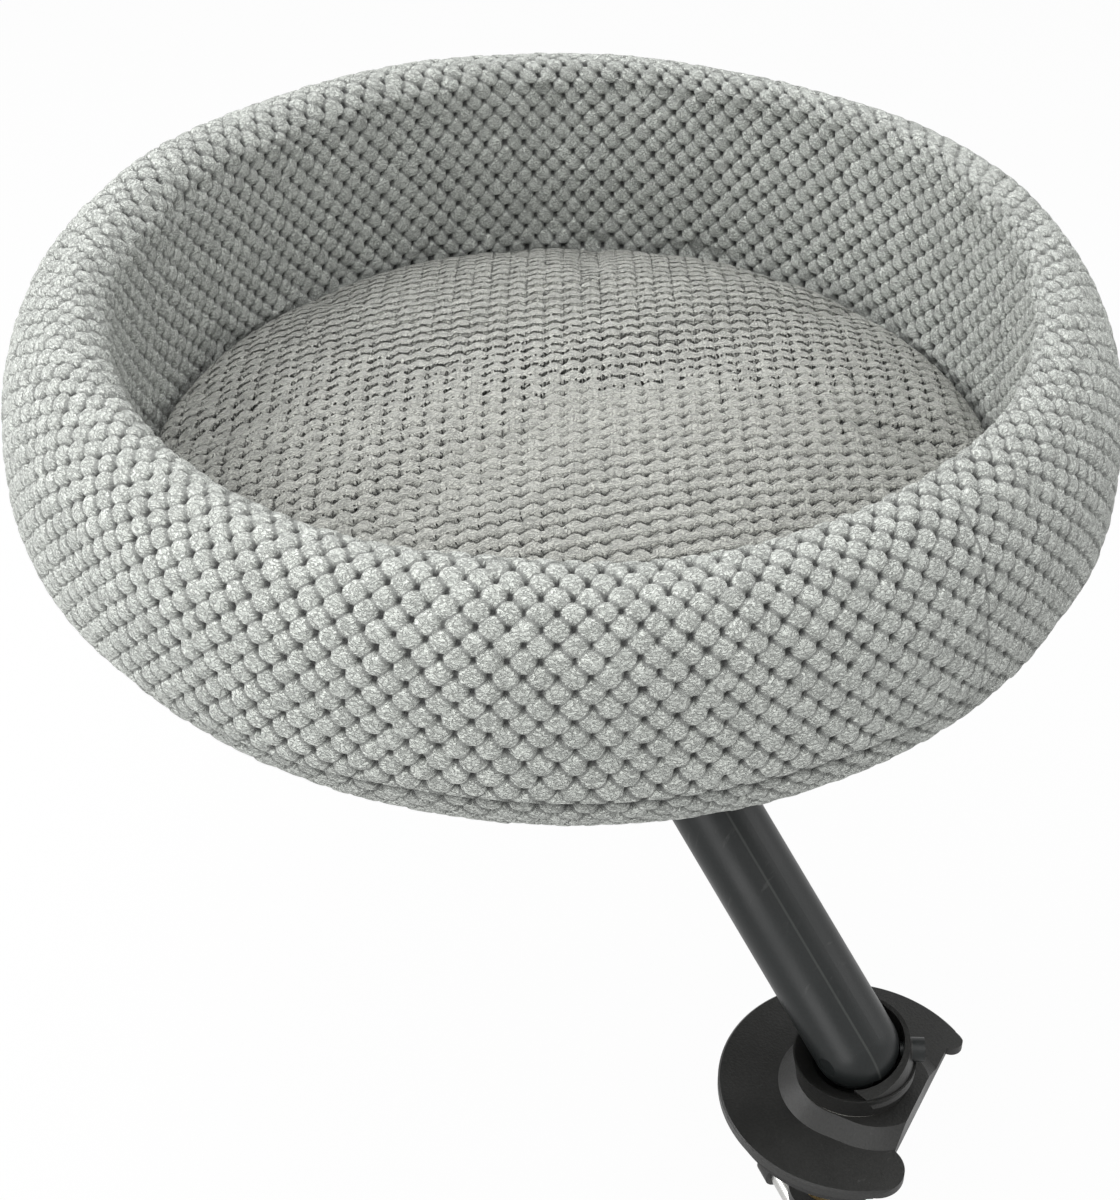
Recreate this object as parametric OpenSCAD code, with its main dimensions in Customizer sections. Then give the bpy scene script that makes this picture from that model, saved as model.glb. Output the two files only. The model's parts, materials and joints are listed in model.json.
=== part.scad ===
// Desk-mounted pet bed: a padded round bed on a leaning tube arm, clamped to a desk top.
// The origin is the centre of the desk pad's underside, +Z is up and the bed hangs out towards -X.
// The same swivel and tilt joint is used at both ends of the arm, upside down at the top.

/* [Arm] */
// Distance between the two tilt pivots
arm_l = 225; // [180:1:320]
// Lean of the arm from upright, in degrees
arm_lean = 50; // [20:1:52]
// Outer diameter of the arm tube
tube_d = 35; // [32:0.5:40]
// Wall of the arm tube
tube_wall = 1.5; // [1:0.1:3]
// How far each knuckle reaches into the tube
knuckle_l = 32; // [20:1:50]

/* [Flange] */
// Diameter of the flange disc
flange_d = 109.6; // [100:0.2:130]
// Thickness of the flange disc
flange_t = 4; // [3:0.5:6]
// Chamfer on the flange's upper edge
flange_edge = 0.8; // [0.4:0.1:1.5]
// Distance of the flange's flat side from its centre
clip_x = 28.6; // [26.5:0.1:34]
// Turn of the flat side from +X, in degrees
clip_turn = 20.5; // [0:0.5:40]
// Corner radius of the horn left of the flat side
horn_a_r = 5; // [3:0.5:10]
// How far that horn stands out from the flat side
horn_a_out = 4.9; // [1:0.1:8]
// Corner radius of the horn right of the flat side
horn_b_r = 12; // [6:0.5:14]
// How far that horn stands out from the flat side
horn_b_out = 7.7; // [1:0.1:9]
// Height of the boss above the disc
boss_h = 6; // [4:0.5:10]
// Radius of the boss where it meets the disc
boss_foot_r = 30; // [28:0.5:34]
// How far the boss stretches towards the flat side
boss_stretch = 9.5; // [0:0.5:14]
// Radius of the circle of flange screws
flange_screw_ring = 21; // [20.5:0.25:21.5]
// Radius of a flange screw
flange_screw_r = 2.5; // [2:0.25:2.75]
// Depth of a flange screw's blind hole
flange_screw_depth = 8; // [6:0.5:9]

/* [Swivel turret] */
// Wall of the turret round its bowl, at the rim
turret_wall = 5.5; // [4:0.5:8]
// Inward taper of the turret from its rim to its foot
turret_taper = 2; // [0:0.25:3]
// Gap between the ball of the knuckle and the bowl
bowl_gap = 2; // [1.5:0.1:3]
// How far the bowl sinks below the turret's underside
bowl_sink = 2.9; // [1:0.1:3.5]
// Drop of the rim below the tilt pivot
rim_drop = 5.6; // [4:0.2:8]
// Height of the bevel inside the rim
bevel_h = 4.6; // [4:0.1:5.4]
// Width of the lip left outside the bevel
lip_w = 0.7; // [0.4:0.1:1.5]
// Radius of the turret's spigot
spigot_r = 12; // [11.5:0.1:14]
// Height of the cowl above the rim
cowl_h = 14; // [10:0.5:18]
// Wall of the cowl at its top
cowl_wall = 1.4; // [1:0.1:3]
// Slope of the cowl's top, in degrees
cowl_slope = 20; // [12:1:26]
// Distance behind the pivot at which the cowl starts to rise
cowl_start = 14; // [8:0.5:18]
// Thickness of the swivel washer
swivel_washer_t = 1; // [0.5:0.1:2]

/* [Tilt joint] */
// Thickness of the turret's tongue
tongue_t = 10; // [8:0.5:12]
// Width of the tongue
tongue_w = 14; // [12:0.5:16]
// Radius of the tongue's round top
tongue_r = 8; // [7:0.5:9]
// Thickness of a tilt washer
tilt_washer_t = 1; // [0.5:0.1:1.5]
// Radius of a tilt washer
tilt_washer_r = 7.5; // [6:0.5:8]
// Radius of the pivot pin
pivot_r = 4; // [3:0.25:4.5]
// Furthest lean of the arm that the knuckle's slot allows, in degrees
lean_max = 58; // [55:1:60]
// Turn of the lock screw from +X, in degrees
lock_turn = 46; // [40:1:60]
// Drop of the lock screw below the pivot
lock_drop = 1.6; // [0:0.1:2]
// Radius of the lock screw
lock_r = 3; // [2.5:0.25:3.5]
// Radius of the lock screw's head
lock_head_r = 5; // [4:0.25:6]
// Length of the lock screw's head
lock_head_l = 5; // [4:0.25:8]
// Wall behind the lock screw's head
lock_wall = 3.2; // [2:0.1:5]

/* [Retaining screw] */
// Radius of the screw that holds the turret down
retain_r = 4; // [3:0.25:5]
// Depth of that screw in the spigot
retain_depth = 6.5; // [5:0.5:7]
// Radius of its washer
retain_washer_r = 14; // [13.5:0.25:14.5]
// Thickness of its washer
retain_washer_t = 2.2; // [1.5:0.1:2.4]
// Radius of its head
retain_head_r = 7; // [6:0.25:9]
// Thickness of its head
retain_head_t = 2.2; // [1.5:0.1:2.4]

/* [Desk clamp] */
// Thickness of the desk pad
pad_t = 2; // [1:0.5:4]
// How far the pad and jaw stop short of the flange's edge
jaw_inset = 4; // [2:0.5:8]
// Thickness of the clamp's bent bar
bar_t = 6; // [5:0.5:8]
// Width of the clamp's bent bar
bar_w = 24; // [22:1:30]
// Distance of the spine's outer face from the pad's centre
spine_x = 50; // [46:0.5:52]
// Height of the clamp's mouth below the jaw
throat_h = 74; // [70:1:100]
// Radius of the clamp's eye round the nut
eye_r = 15; // [13:0.5:18]
// Turn of the clamp from -X towards +Y, in degrees
clamp_turn = 20; // [0:1:40]
// Inside bend radius of the bar
bend_r = 4; // [2:0.5:8]
// Distance of the clamp screw from the pad's centre
screw_x = 12; // [6:0.5:16]
// Desk thickness at which the clamp is shown
desk_t = 25; // [15:1:35]
// Radius of the clamp screw
screw_r = 5; // [4:0.25:6]
// Length of the clamp screw from the pressure plate to its head
screw_l = 64; // [64:1:80]
// Radius of the clamp screw's tip
tip_r = 3.5; // [3:0.25:4]
// Length of the clamp screw's tip
tip_l = 7; // [6:0.5:7.5]
// Radius of the clamp nut's body
nut_r = 8; // [7:0.25:9]
// Radius of the clamp nut's collar
nut_collar_r = 11; // [10:0.25:11.5]
// Height of the clamp nut's collar
nut_collar_h = 8; // [5:0.5:10]
// Radius of the pressure plate
plate_r = 20; // [16:0.5:24]
// Thickness of the pressure plate's disc
plate_t = 5; // [3:0.5:7]
// Radius of the pressure plate's hub
plate_hub_r = 8; // [6:0.25:10]
// Height of the pressure plate's hub
plate_hub_h = 8; // [8:0.5:10]
// Thickness of the pressure pad
pressure_pad_t = 3; // [1:0.5:4]
// Radius of the clamp screw's head
head_r = 8; // [7:0.5:10]
// Height of the clamp screw's head
head_h = 15; // [12:0.5:20]
// Radius of the handle bar
handle_r = 4; // [3:0.25:5]
// Length of the handle bar
handle_l = 90; // [60:1:110]
// Radius of the handle's caps
cap_r = 6.5; // [5.5:0.25:8]
// Length of the handle's caps
cap_l = 9; // [6:0.5:14]
// Depth of the bar inside a cap
cap_grip = 6; // [4:0.5:6]

/* [Bed] */
// Outer radius of the padded wall at its belly
bed_r = 212; // [190:1:240]
// Height of the belly above the board's underside
belly_z = 54; // [46:1:62]
// Height of the rim above the board's underside
rim_z = 114; // [105:1:150]
// How far the crest of the rim lies inside the belly
crest_in = 31; // [24:0.5:34]
// Width of the padded wall from its belly to its inner face
wall_w = 40; // [34:0.5:46]
// Height at which the rim turns into the inner wall
mouth_z = 100; // [90:1:108]
// How far the wall's hem lies inside the belly
hem_in = 29; // [20:0.5:34]
// Thickness of the knitted covers
cover_t = 2; // [1:0.25:3]
// Width of the base's padded edge outside the board
edge_w = 32; // [29:0.5:40]
// Thickness of the base board
board_t = 9; // [6:0.5:12]
// How far the hem overhangs the base
hem_over = 4; // [2:0.5:6]
// How far the base's rolled edge hangs below the board
roll_drop = 9; // [5:0.5:14]
// How far the lowest ring of the rolled edge lies inside the base's edge
roll_in = 24; // [16:0.5:28]
// Clearance round the flange in the bottom cover
cover_hole_gap = 2; // [1:0.5:6]
// Gap between the floor cushion and the wall
cushion_gap = 1.5; // [0.5:0.25:4]
// Height of the floor cushion at its crown
cushion_h = 40; // [28:1:55]
// Height of the cushion's seam above its underside
seam_h = 15; // [10:1:20]
// Width of the rounded edge round the flat part of the cushion's underside
cushion_round_w = 31.5; // [20:0.5:50]

/* [Hidden] */
$fn = 96;
over = 1; // overrun of cuts
run_fit = 0.05; // radial clearance of a running fit
near_gap = 0.3; // clearance of a soft piece from what carries it
press_gap = 0.1; // clearance of a fixed piece in its hole
hem_pull_shares = [0.35, 0.12]; // pulls of the wall's curves, as shares of each one's width and height
belly_pull_shares = [0, 0.49];
shoulder_pull_shares = [0, 0.55];
crest_pull_shares = [0.55, 0];
lip_pull_shares = [0.6, 0];
mouth_pull_shares = [0, 0.6];
roll_edge_share = 0.7; // pulls of the rolled edge, as shares of its height and width
roll_low_share = 0.6;
roll_back_share = 0.5;
pinch_share = 0.25; // pinch at the cushion's seam, as a share of its height
cushion_flat_share = 0.5;
crown_share = 0.62; // how broad the cushion's crown is
edge_steps = 10; // steps in each curve of a padded outline
screw_count = 3; // screws in each flange
screw_turn = 80; // turn of the first flange screw, in degrees
bend_steps = 10; // facets of each bend of the clamp's bar
boss_steps = 3; // cones that make up the stretched boss

ball_r = tube_d / 2;
bore_r = ball_r - tube_wall;
bowl_r = ball_r + bowl_gap;
turret_r = bowl_r + turret_wall;
turret_foot_r = turret_r - turret_taper;
turret_z = flange_t + boss_h + swivel_washer_t;
pivot_h = turret_z + bowl_r - bowl_sink;
turret_rim_z = pivot_h - rim_drop;
bowl_edge_r = sqrt(pow(bowl_r, 2) - pow(rim_drop + bevel_h, 2));
cowl_top_r = bowl_r + cowl_wall;
lock_z = pivot_h - lock_drop;
lock_seat = bowl_r + lock_wall;
slot_half = tongue_t / 2 + tilt_washer_t;
pivot_half = sqrt(pow(ball_r, 2) - pow(pivot_r, 2)) - press_gap;
seat_z = pad_t + bar_t;
pivot_z = seat_z + pivot_h;
bed_x = -arm_l * sin(arm_lean);
mouth_r = bed_r - wall_w;
crest_r = bed_r - crest_in;
hem_r = bed_r - hem_in;
base_r = hem_r - hem_over;
roll_r = base_r - roll_in;
board_r = base_r - edge_w;
cushion_r = mouth_r - cushion_gap;
cushion_flat_r = cushion_r - cushion_round_w;
top_pivot_z = pivot_z + arm_l * cos(arm_lean);
bed_z = top_pivot_z + pivot_h;
plate_z = -desk_t - pressure_pad_t - plate_t;
arm_top_z = pad_t - throat_h;
screw_top_z = plate_z - plate_hub_h;
head_top_z = screw_top_z - screw_l;
handle_z = head_top_z - head_h / 2;
jaw_edge_x = over + bar_t + bend_r - spine_x;
stud_sink = flange_screw_depth - over;

// Points along a cubic curve from p[0] to p[3], pulled by p[1] and p[2].
function curve(p) = [
    for (i = [0:edge_steps])
        let (t = i / edge_steps, u = 1 - t)
            u * u * u * p[0] + 3 * u * u * t * p[1] + 3 * u * t * t * p[2] + t * t * t * p[3]
];

function scaled(size, shares) = [size[0] * shares[0], size[1] * shares[1]];

// Places: the joint's own frame has its origin on the flange's seat, with +Z towards the arm.
module at_base() {
    translate([0, 0, seat_z]) children();
}

module at_top() {
    translate([bed_x, 0, bed_z]) rotate([0, 180, 0]) children();
}

module at_bed() {
    translate([bed_x, 0, bed_z]) children();
}

// The arm's frame: origin on the lower pivot, +Z along the tube.
module on_arm() {
    translate([0, 0, pivot_z]) rotate([0, -arm_lean, 0]) children();
}

module on_clamp() {
    rotate([0, 0, -clamp_turn]) children();
}

module ring(r_out, r_in, h) {
    difference() {
        cylinder(r = r_out, h = h);
        translate([0, 0, -over]) cylinder(r = r_in, h = h + 2 * over);
    }
}

// A cylinder along Y, centred on the origin.
module cross_pin(r, l) {
    rotate([90, 0, 0]) cylinder(r = r, h = l, center = true);
}

module at_screws() {
    for (i = [0:screw_count - 1])
        rotate([0, 0, screw_turn + i * 360 / screw_count])
            translate([flange_screw_ring, 0, 0])
                children();
}

// Flange

// The flange seen from above: a disc with one flat side between two rounded horns.
module flange_outline() {
    rotate(clip_turn) {
        intersection() {
            circle(flange_d / 2);
            translate([-flange_d, -flange_d]) square([flange_d + clip_x, 2 * flange_d]);
        }
        horn(horn_a_r, horn_a_out, 1);
        horn(horn_b_r, horn_b_out, -1);
    }
}

// The outline of the pad and jaw: the flange drawn in, without horns, up to the clamp's bend.
module jaw_outline() {
    intersection() {
        circle(flange_d / 2 - jaw_inset);
        rotate(clip_turn)
            translate([-flange_d, -flange_d])
                square([flange_d + clip_x - jaw_inset, 2 * flange_d]);
        rotate(-clamp_turn) translate([jaw_edge_x, -flange_d]) square(2 * flange_d);
    }
}

module horn(r, out, side) {
    x = clip_x + out - r;
    y = sqrt(pow(flange_d / 2 - r, 2) - pow(x, 2));
    translate([x, side * y]) circle(r);
}

module flange_disc() {
    r = flange_d / 2;
    intersection() {
        rotate_extrude()
            polygon([
                [0, 0], [r, 0], [r, flange_t - flange_edge], [r - flange_edge, flange_t], [0, flange_t]
            ]);
        linear_extrude(flange_t) flange_outline();
    }
}

module flange_boss() {
    intersection() {
        rotate(clip_turn)
            for (i = [0:boss_steps - 1])
                translate([i * boss_stretch / (boss_steps - 1), 0, 0])
                    cylinder(r1 = boss_foot_r, r2 = turret_foot_r, h = boss_h);
        linear_extrude(boss_h) flange_outline();
    }
}

module flange() {
    difference() {
        union() {
            flange_disc();
            translate([0, 0, flange_t]) flange_boss();
        }
        translate([0, 0, -over]) cylinder(r = spigot_r + run_fit, h = turret_z + 2 * over);
        at_screws() translate([0, 0, -over]) cylinder(r = flange_screw_r, h = flange_screw_depth + over);
    }
}

// Countersunk screws from behind the flange, through a plate as thick as grip.
module flange_screws(grip) {
    at_screws() {
        translate([0, 0, -grip]) screw_cone(0, 0);
        translate([0, 0, -grip]) cylinder(r = flange_screw_r, h = grip + stud_sink);
    }
}

// A countersunk head, wider by gap and drawn out below by under.
module screw_cone(gap, under) {
    translate([0, 0, -under])
        cylinder(r1 = 2 * flange_screw_r + gap + under, r2 = flange_screw_r + gap, h = flange_screw_r + under);
}

// Holes in the plate behind a flange: one for the retaining screw, and the countersunk ones.
module plate_holes(grip) {
    translate([0, 0, -grip - over])
        cylinder(r = retain_washer_r + near_gap, h = grip + 2 * over);
    at_screws() {
        translate([0, 0, -grip - over]) cylinder(r = flange_screw_r + press_gap, h = grip + 2 * over);
        translate([0, 0, -grip]) screw_cone(press_gap, over);
    }
}

// Turret

module turret_shell() {
    difference() {
        union() {
            translate([0, 0, -run_fit]) cylinder(r = spigot_r, h = turret_z + 2 * run_fit);
            translate([0, 0, turret_z])
                cylinder(r1 = turret_foot_r, r2 = turret_r, h = turret_rim_z - turret_z);
        }
        rim_bevel();
    }
}

module rim_bevel() {
    translate([0, 0, turret_rim_z - bevel_h])
        cylinder(r1 = bowl_edge_r, r2 = turret_r - lip_w, h = bevel_h);
}

// The raised part of the rim that carries the lock screw; its top is cut on a slope.
module cowl() {
    intersection() {
        translate([0, 0, turret_rim_z - bevel_h])
            cylinder(r1 = turret_r, r2 = cowl_top_r, h = cowl_h + bevel_h);
        translate([0, -cowl_start, turret_rim_z])
            rotate([cowl_slope, 0, 0])
                translate([-turret_r, 0, -turret_r])
                    cube([2 * turret_r, 3 * turret_r, turret_r]);
    }
    lock_boss();
}

module on_lock() {
    rotate([0, 0, lock_turn]) translate([0, 0, lock_z]) rotate([0, 90, 0]) children();
}

module lock_boss() {
    on_lock()
        translate([0, 0, bowl_r - over])
            cylinder(r = lock_head_r, h = lock_seat - bowl_r + over);
}

// The room that the ball and the leaning tube need.
module bowl_room() {
    translate([0, 0, pivot_h]) sphere(bowl_r);
    translate([0, 0, pivot_h]) cylinder(r = bowl_r, h = cowl_h + rim_drop);
    translate([-2 * turret_r, -bowl_r, turret_rim_z]) cube([2 * turret_r, 2 * bowl_r, 2 * turret_r]);
    intersection() {
        rim_bevel();
        translate([-2 * turret_r, -turret_r, 0]) cube([2 * turret_r, 2 * turret_r, turret_rim_z]);
    }
}

module tongue() {
    difference() {
        intersection() {
            union() {
                translate([-tongue_w / 2, -tongue_t / 2, 0]) cube([tongue_w, tongue_t, pivot_h]);
                translate([0, 0, pivot_h]) cross_pin(tongue_r, tongue_t);
            }
            translate([-turret_r, -turret_r, pivot_h - bowl_r - over])
                cube([2 * turret_r, 2 * turret_r, 2 * turret_r]);
        }
        translate([0, 0, pivot_h]) cross_pin(pivot_r + run_fit, tongue_t + 2 * over);
    }
}

module turret() {
    difference() {
        union() {
            difference() {
                union() {
                    turret_shell();
                    cowl();
                }
                bowl_room();
            }
            tongue();
        }
        on_lock() {
            cylinder(r = lock_r + press_gap, h = 2 * turret_r);
            translate([0, 0, lock_seat]) cylinder(r = lock_head_r + press_gap, h = turret_r);
        }
        translate([0, 0, -over]) cylinder(r = retain_r + press_gap, h = retain_depth + over);
    }
}

module swivel_washer() {
    translate([0, 0, turret_z - swivel_washer_t])
        ring(turret_foot_r - lip_w, spigot_r + near_gap, swivel_washer_t);
}

module retaining_washer() {
    translate([0, 0, -retain_washer_t - run_fit]) ring(retain_washer_r, retain_r, retain_washer_t);
}

module retaining_screw() {
    head_z = -retain_washer_t - run_fit;
    translate([0, 0, head_z]) cylinder(r = retain_r, h = retain_depth - head_z - over);
    difference() {
        translate([0, 0, head_z - retain_head_t]) cylinder(r = retain_head_r, h = retain_head_t);
        translate([0, 0, head_z - retain_head_t - over])
            cylinder(r = retain_r, h = retain_head_t, $fn = 6);
    }
}

module lock_screw() {
    tip = ball_r + near_gap;
    on_lock() {
        translate([0, 0, tip]) cylinder(r = lock_r, h = lock_seat - tip);
        difference() {
            translate([0, 0, lock_seat]) cylinder(r = lock_head_r, h = lock_head_l);
            translate([0, 0, lock_seat + lock_head_l / 2]) cylinder(r = lock_r, h = lock_head_l, $fn = 6);
        }
    }
}

// Knuckle: the ball end of the arm, slotted for the turret's tongue

// The room that the tongue needs as the arm goes from upright to its furthest lean.
module slot_room() {
    half = tongue_w / 2 + near_gap;
    reach = 2 * ball_r;
    rotate([90, 0, 0])
        linear_extrude(2 * slot_half, center = true) {
            circle(tongue_r + near_gap);
            for (a = [0, lean_max])
                rotate(-a) translate([-half, -reach]) square([2 * half, reach]);
            polygon([
                [0, 0], [0, -reach],
                reach * [-sin(lean_max / 2), -cos(lean_max / 2)],
                reach * [-sin(lean_max), -cos(lean_max)]
            ]);
        }
}

module knuckle() {
    difference() {
        union() {
            intersection() {
                sphere(ball_r);
                translate([-ball_r, -ball_r, -ball_r]) cube([2 * ball_r, 2 * ball_r, ball_r]);
            }
            cylinder(r = bore_r, h = knuckle_l);
        }
        slot_room();
        cross_pin(pivot_r, 2 * ball_r);
    }
}

module tilt_washers() {
    for (side = [0, 1])
        mirror([0, side, 0])
            translate([0, slot_half, 0])
                rotate([90, 0, 0])
                    ring(tilt_washer_r, pivot_r, tilt_washer_t - run_fit);
}

module pivot_pin() {
    cross_pin(pivot_r, 2 * pivot_half);
}

// The arm's own pieces in the arm's frame; the upper ones are the lower ones turned end for end.
module arm_end(top) {
    on_arm()
        translate([0, 0, top ? arm_l : 0])
            rotate([0, top ? 180 : 0, 0])
                children();
}

// Clamp

// Points on an arc round c, from angle a to angle b.
function arc(c, r, a, b) = [
    for (i = [0:bend_steps])
        let (t = a + (b - a) * i / bend_steps)
            c + r * [cos(t), sin(t)]
];

// Side view of the bent bar, with X along the bar and Y up.
module bar_profile() {
    bottom = arm_top_z - bar_t;
    outer_r = bend_r + bar_t;
    x = outer_r - spine_x;
    polygon(concat(
        [[jaw_edge_x, seat_z]],
        arc([x, seat_z - outer_r], outer_r, 90, 180),
        arc([x, bottom + outer_r], outer_r, 180, 270),
        [[-screw_x, bottom], [-screw_x, arm_top_z]],
        arc([x, arm_top_z + bend_r], bend_r, 270, 180),
        arc([x, pad_t - bend_r], bend_r, 180, 90),
        [[jaw_edge_x, pad_t]]
    ));
}

module bar() {
    rotate([90, 0, 0]) linear_extrude(bar_w, center = true) bar_profile();
}

module jaw_plate() {
    color("#202224")
        difference() {
            translate([0, 0, pad_t]) linear_extrude(bar_t) jaw_outline();
            at_base() plate_holes(bar_t);
        }
}

module clamp_bracket() {
    color("#202224")
        on_clamp()
            difference() {
                union() {
                    bar();
                    translate([-screw_x, 0, arm_top_z - bar_t]) cylinder(r = eye_r, h = bar_t);
                }
                translate([-screw_x, 0, arm_top_z - bar_t - over])
                    cylinder(r = nut_r + press_gap, h = bar_t + 2 * over);
            }
}

module at_clamp_screw() {
    on_clamp() translate([-screw_x, 0, 0]) children();
}

module desk_pad() {
    color("#141414") linear_extrude(pad_t) jaw_outline();
}

module clamp_nut() {
    color("#c8a860")
        at_clamp_screw()
            difference() {
                union() {
                    translate([0, 0, arm_top_z - bar_t]) cylinder(r = nut_r, h = bar_t);
                    translate([0, 0, arm_top_z - bar_t - nut_collar_h])
                        cylinder(r = nut_collar_r, h = nut_collar_h);
                }
                translate([0, 0, arm_top_z - bar_t - nut_collar_h - over])
                    cylinder(r = screw_r + run_fit, h = bar_t + nut_collar_h + 2 * over);
            }
}

module clamp_screw() {
    color("#9a9c9e")
        at_clamp_screw()
            difference() {
                union() {
                    translate([0, 0, screw_top_z - run_fit]) cylinder(r = tip_r, h = tip_l + run_fit);
                    translate([0, 0, head_top_z]) cylinder(r = screw_r, h = screw_l - run_fit);
                    translate([0, 0, head_top_z - head_h]) cylinder(r = head_r, h = head_h);
                }
                translate([0, 0, handle_z])
                    rotate([0, 90, 0])
                        cylinder(r = handle_r + run_fit, h = 2 * head_r + 2 * over, center = true);
            }
}

module pressure_plate() {
    color("#2a2c2e")
        at_clamp_screw()
            difference() {
                union() {
                    translate([0, 0, plate_z]) cylinder(r = plate_r, h = plate_t);
                    translate([0, 0, screw_top_z]) cylinder(r = plate_hub_r, h = plate_hub_h);
                }
                translate([0, 0, screw_top_z - over])
                    cylinder(r = tip_r + run_fit, h = tip_l + run_fit + over);
            }
}

module pressure_pad() {
    color("#141414")
        at_clamp_screw() translate([0, 0, plate_z + plate_t]) cylinder(r = plate_r, h = pressure_pad_t);
}

module clamp_handle() {
    color("#9a9c9e")
        at_clamp_screw()
            translate([0, 0, handle_z])
                rotate([0, 90, 0])
                    cylinder(r = handle_r, h = handle_l, center = true);
}

module handle_caps() {
    color("#141414")
        at_clamp_screw()
            translate([0, 0, handle_z])
                for (side = [0, 1])
                    mirror([side, 0, 0])
                        translate([handle_l / 2 - cap_grip, 0, 0])
                            rotate([0, 90, 0])
                                difference() {
                                    cylinder(r = cap_r, h = cap_l);
                                    translate([0, 0, -over]) cylinder(r = handle_r, h = cap_grip + over);
                                }
}

// Joint pieces

module base_flange() {
    color("#202224") at_base() flange();
}

module top_flange() {
    color("#202224") at_top() flange();
}

module base_flange_screws() {
    color("#8a8c8e") at_base() flange_screws(bar_t);
}

module top_flange_screws() {
    color("#8a8c8e") at_top() flange_screws(board_t);
}

module base_swivel_washer() {
    color("#d8d6d0") at_base() swivel_washer();
}

module top_swivel_washer() {
    color("#d8d6d0") at_top() swivel_washer();
}

module base_turret() {
    color("#202224") at_base() turret();
}

module top_turret() {
    color("#202224") at_top() turret();
}

module base_retaining_washer() {
    color("#8a8c8e") at_base() retaining_washer();
}

module top_retaining_washer() {
    color("#8a8c8e") at_top() retaining_washer();
}

module base_retaining_screw() {
    color("#8a8c8e") at_base() retaining_screw();
}

module top_retaining_screw() {
    color("#8a8c8e") at_top() retaining_screw();
}

module base_lock_screw() {
    color("#1a1a1c") at_base() lock_screw();
}

module top_lock_screw() {
    color("#1a1a1c") at_top() lock_screw();
}

// Arm pieces

module lower_knuckle() {
    color("#2b2e32") arm_end(false) knuckle();
}

module upper_knuckle() {
    color("#2b2e32") arm_end(true) knuckle();
}

module base_pivot_pin() {
    color("#1a1a1c") arm_end(false) pivot_pin();
}

module top_pivot_pin() {
    color("#1a1a1c") arm_end(true) pivot_pin();
}

module base_tilt_washers() {
    color("#d8d6d0") arm_end(false) tilt_washers();
}

module top_tilt_washers() {
    color("#d8d6d0") arm_end(true) tilt_washers();
}

module arm_tube() {
    color("#2b2e32")
        difference() {
            on_arm() ring(ball_r, bore_r, arm_l);
            for (top = [false, true])
                arm_end(top) cross_pin(pivot_r, 2 * ball_r);
        }
}

// Bed

// Outline of the padded wall, drawn in by inset: hem, belly, crest, inner wall.
function wall_points(inset) =
    let (
        hem = [hem_r - inset, board_t + inset],
        belly = [bed_r - inset, belly_z],
        crest = [crest_r, rim_z - inset],
        mouth = [mouth_r + inset, mouth_z],
        low = [bed_r - hem_r, belly_z - board_t],
        high = [bed_r - crest_r, rim_z - belly_z],
        inner = [crest_r - mouth_r, rim_z - mouth_z],
        hem_pull = scaled(low, hem_pull_shares),
        belly_pull = scaled(low, belly_pull_shares),
        shoulder_pull = scaled(high, shoulder_pull_shares),
        crest_pull = scaled(high, crest_pull_shares),
        lip_pull = scaled(inner, lip_pull_shares),
        mouth_pull = scaled(inner, mouth_pull_shares)
    )
    concat(
        curve([hem, hem + hem_pull, belly - belly_pull, belly]),
        curve([belly, belly + shoulder_pull, crest + crest_pull, crest]),
        curve([crest, crest - lip_pull, mouth + mouth_pull, mouth]),
        [[mouth_r + inset, board_t + inset]]
    );

// Outline of the base's rolled edge, drawn in by inset; it ends at the board's edge.
function roll_points(inset) =
    let (
        edge = [base_r - inset, board_t],
        low = [roll_r, inset - roll_drop],
        board = [board_r, inset - cover_t],
        edge_pull = [0, (board_t + roll_drop) * roll_edge_share],
        low_pull = [(base_r - roll_r) * roll_low_share, 0],
        back_pull = [(roll_r - board_r) * roll_back_share, 0]
    )
    concat(
        curve([edge, edge - edge_pull, low + low_pull, low]),
        curve([low, low - back_pull, board + back_pull, board])
    );

// Half outline of the floor cushion, drawn in by inset: flat underside, pinched seam, crown.
function cushion_points(inset) =
    let (
        r = cushion_r - inset,
        base = board_t + near_gap,
        flat = [cushion_flat_r, base + inset],
        seam = [r, base + seam_h],
        top = [0, base + cushion_h - inset],
        pinch = cushion_h * pinch_share,
        flat_pull = [(r - cushion_flat_r) * cushion_flat_share, 0],
        under_pull = [pinch / 2, pinch],
        over_pull = [pinch, -pinch],
        crown_pull = [r * crown_share, 0]
    )
    concat(
        [[0, base + inset]],
        curve([flat, flat + flat_pull, seam - under_pull, seam]),
        curve([seam, seam - over_pull, top + crown_pull, top])
    );

module base_board() {
    color("#c9a878")
        difference() {
            at_bed() cylinder(r = board_r, h = board_t);
            at_top() plate_holes(board_t);
        }
}

module base_foam() {
    color("#e8e4d0")
        at_bed()
            rotate_extrude()
                polygon(concat(
                    roll_points(cover_t),
                    [[board_r, board_t]]
                ));
}

module bottom_cover() {
    hole_r = flange_d / 2 + cover_hole_gap;
    color("#b4b9b0")
        at_bed()
            rotate_extrude()
                polygon(concat(
                    roll_points(0),
                    [[hole_r, -cover_t], [hole_r, 0]],
                    [for (i = [len(roll_points(cover_t)) - 1:-1:0]) roll_points(cover_t)[i]]
                ));
}

module wall_foam() {
    color("#e8e4d0") at_bed() rotate_extrude() polygon(wall_points(cover_t));
}

module wall_cover() {
    color("#b4b9b0")
        at_bed()
            rotate_extrude()
                difference() {
                    polygon(wall_points(0));
                    polygon(wall_points(cover_t));
                }
}

module cushion_fill() {
    color("#e8e4d0") at_bed() rotate_extrude() polygon(cushion_points(cover_t));
}

module cushion_cover() {
    color("#b4b9b0")
        at_bed()
            rotate_extrude()
                difference() {
                    polygon(cushion_points(0));
                    polygon(cushion_points(cover_t));
                }
}

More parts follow.
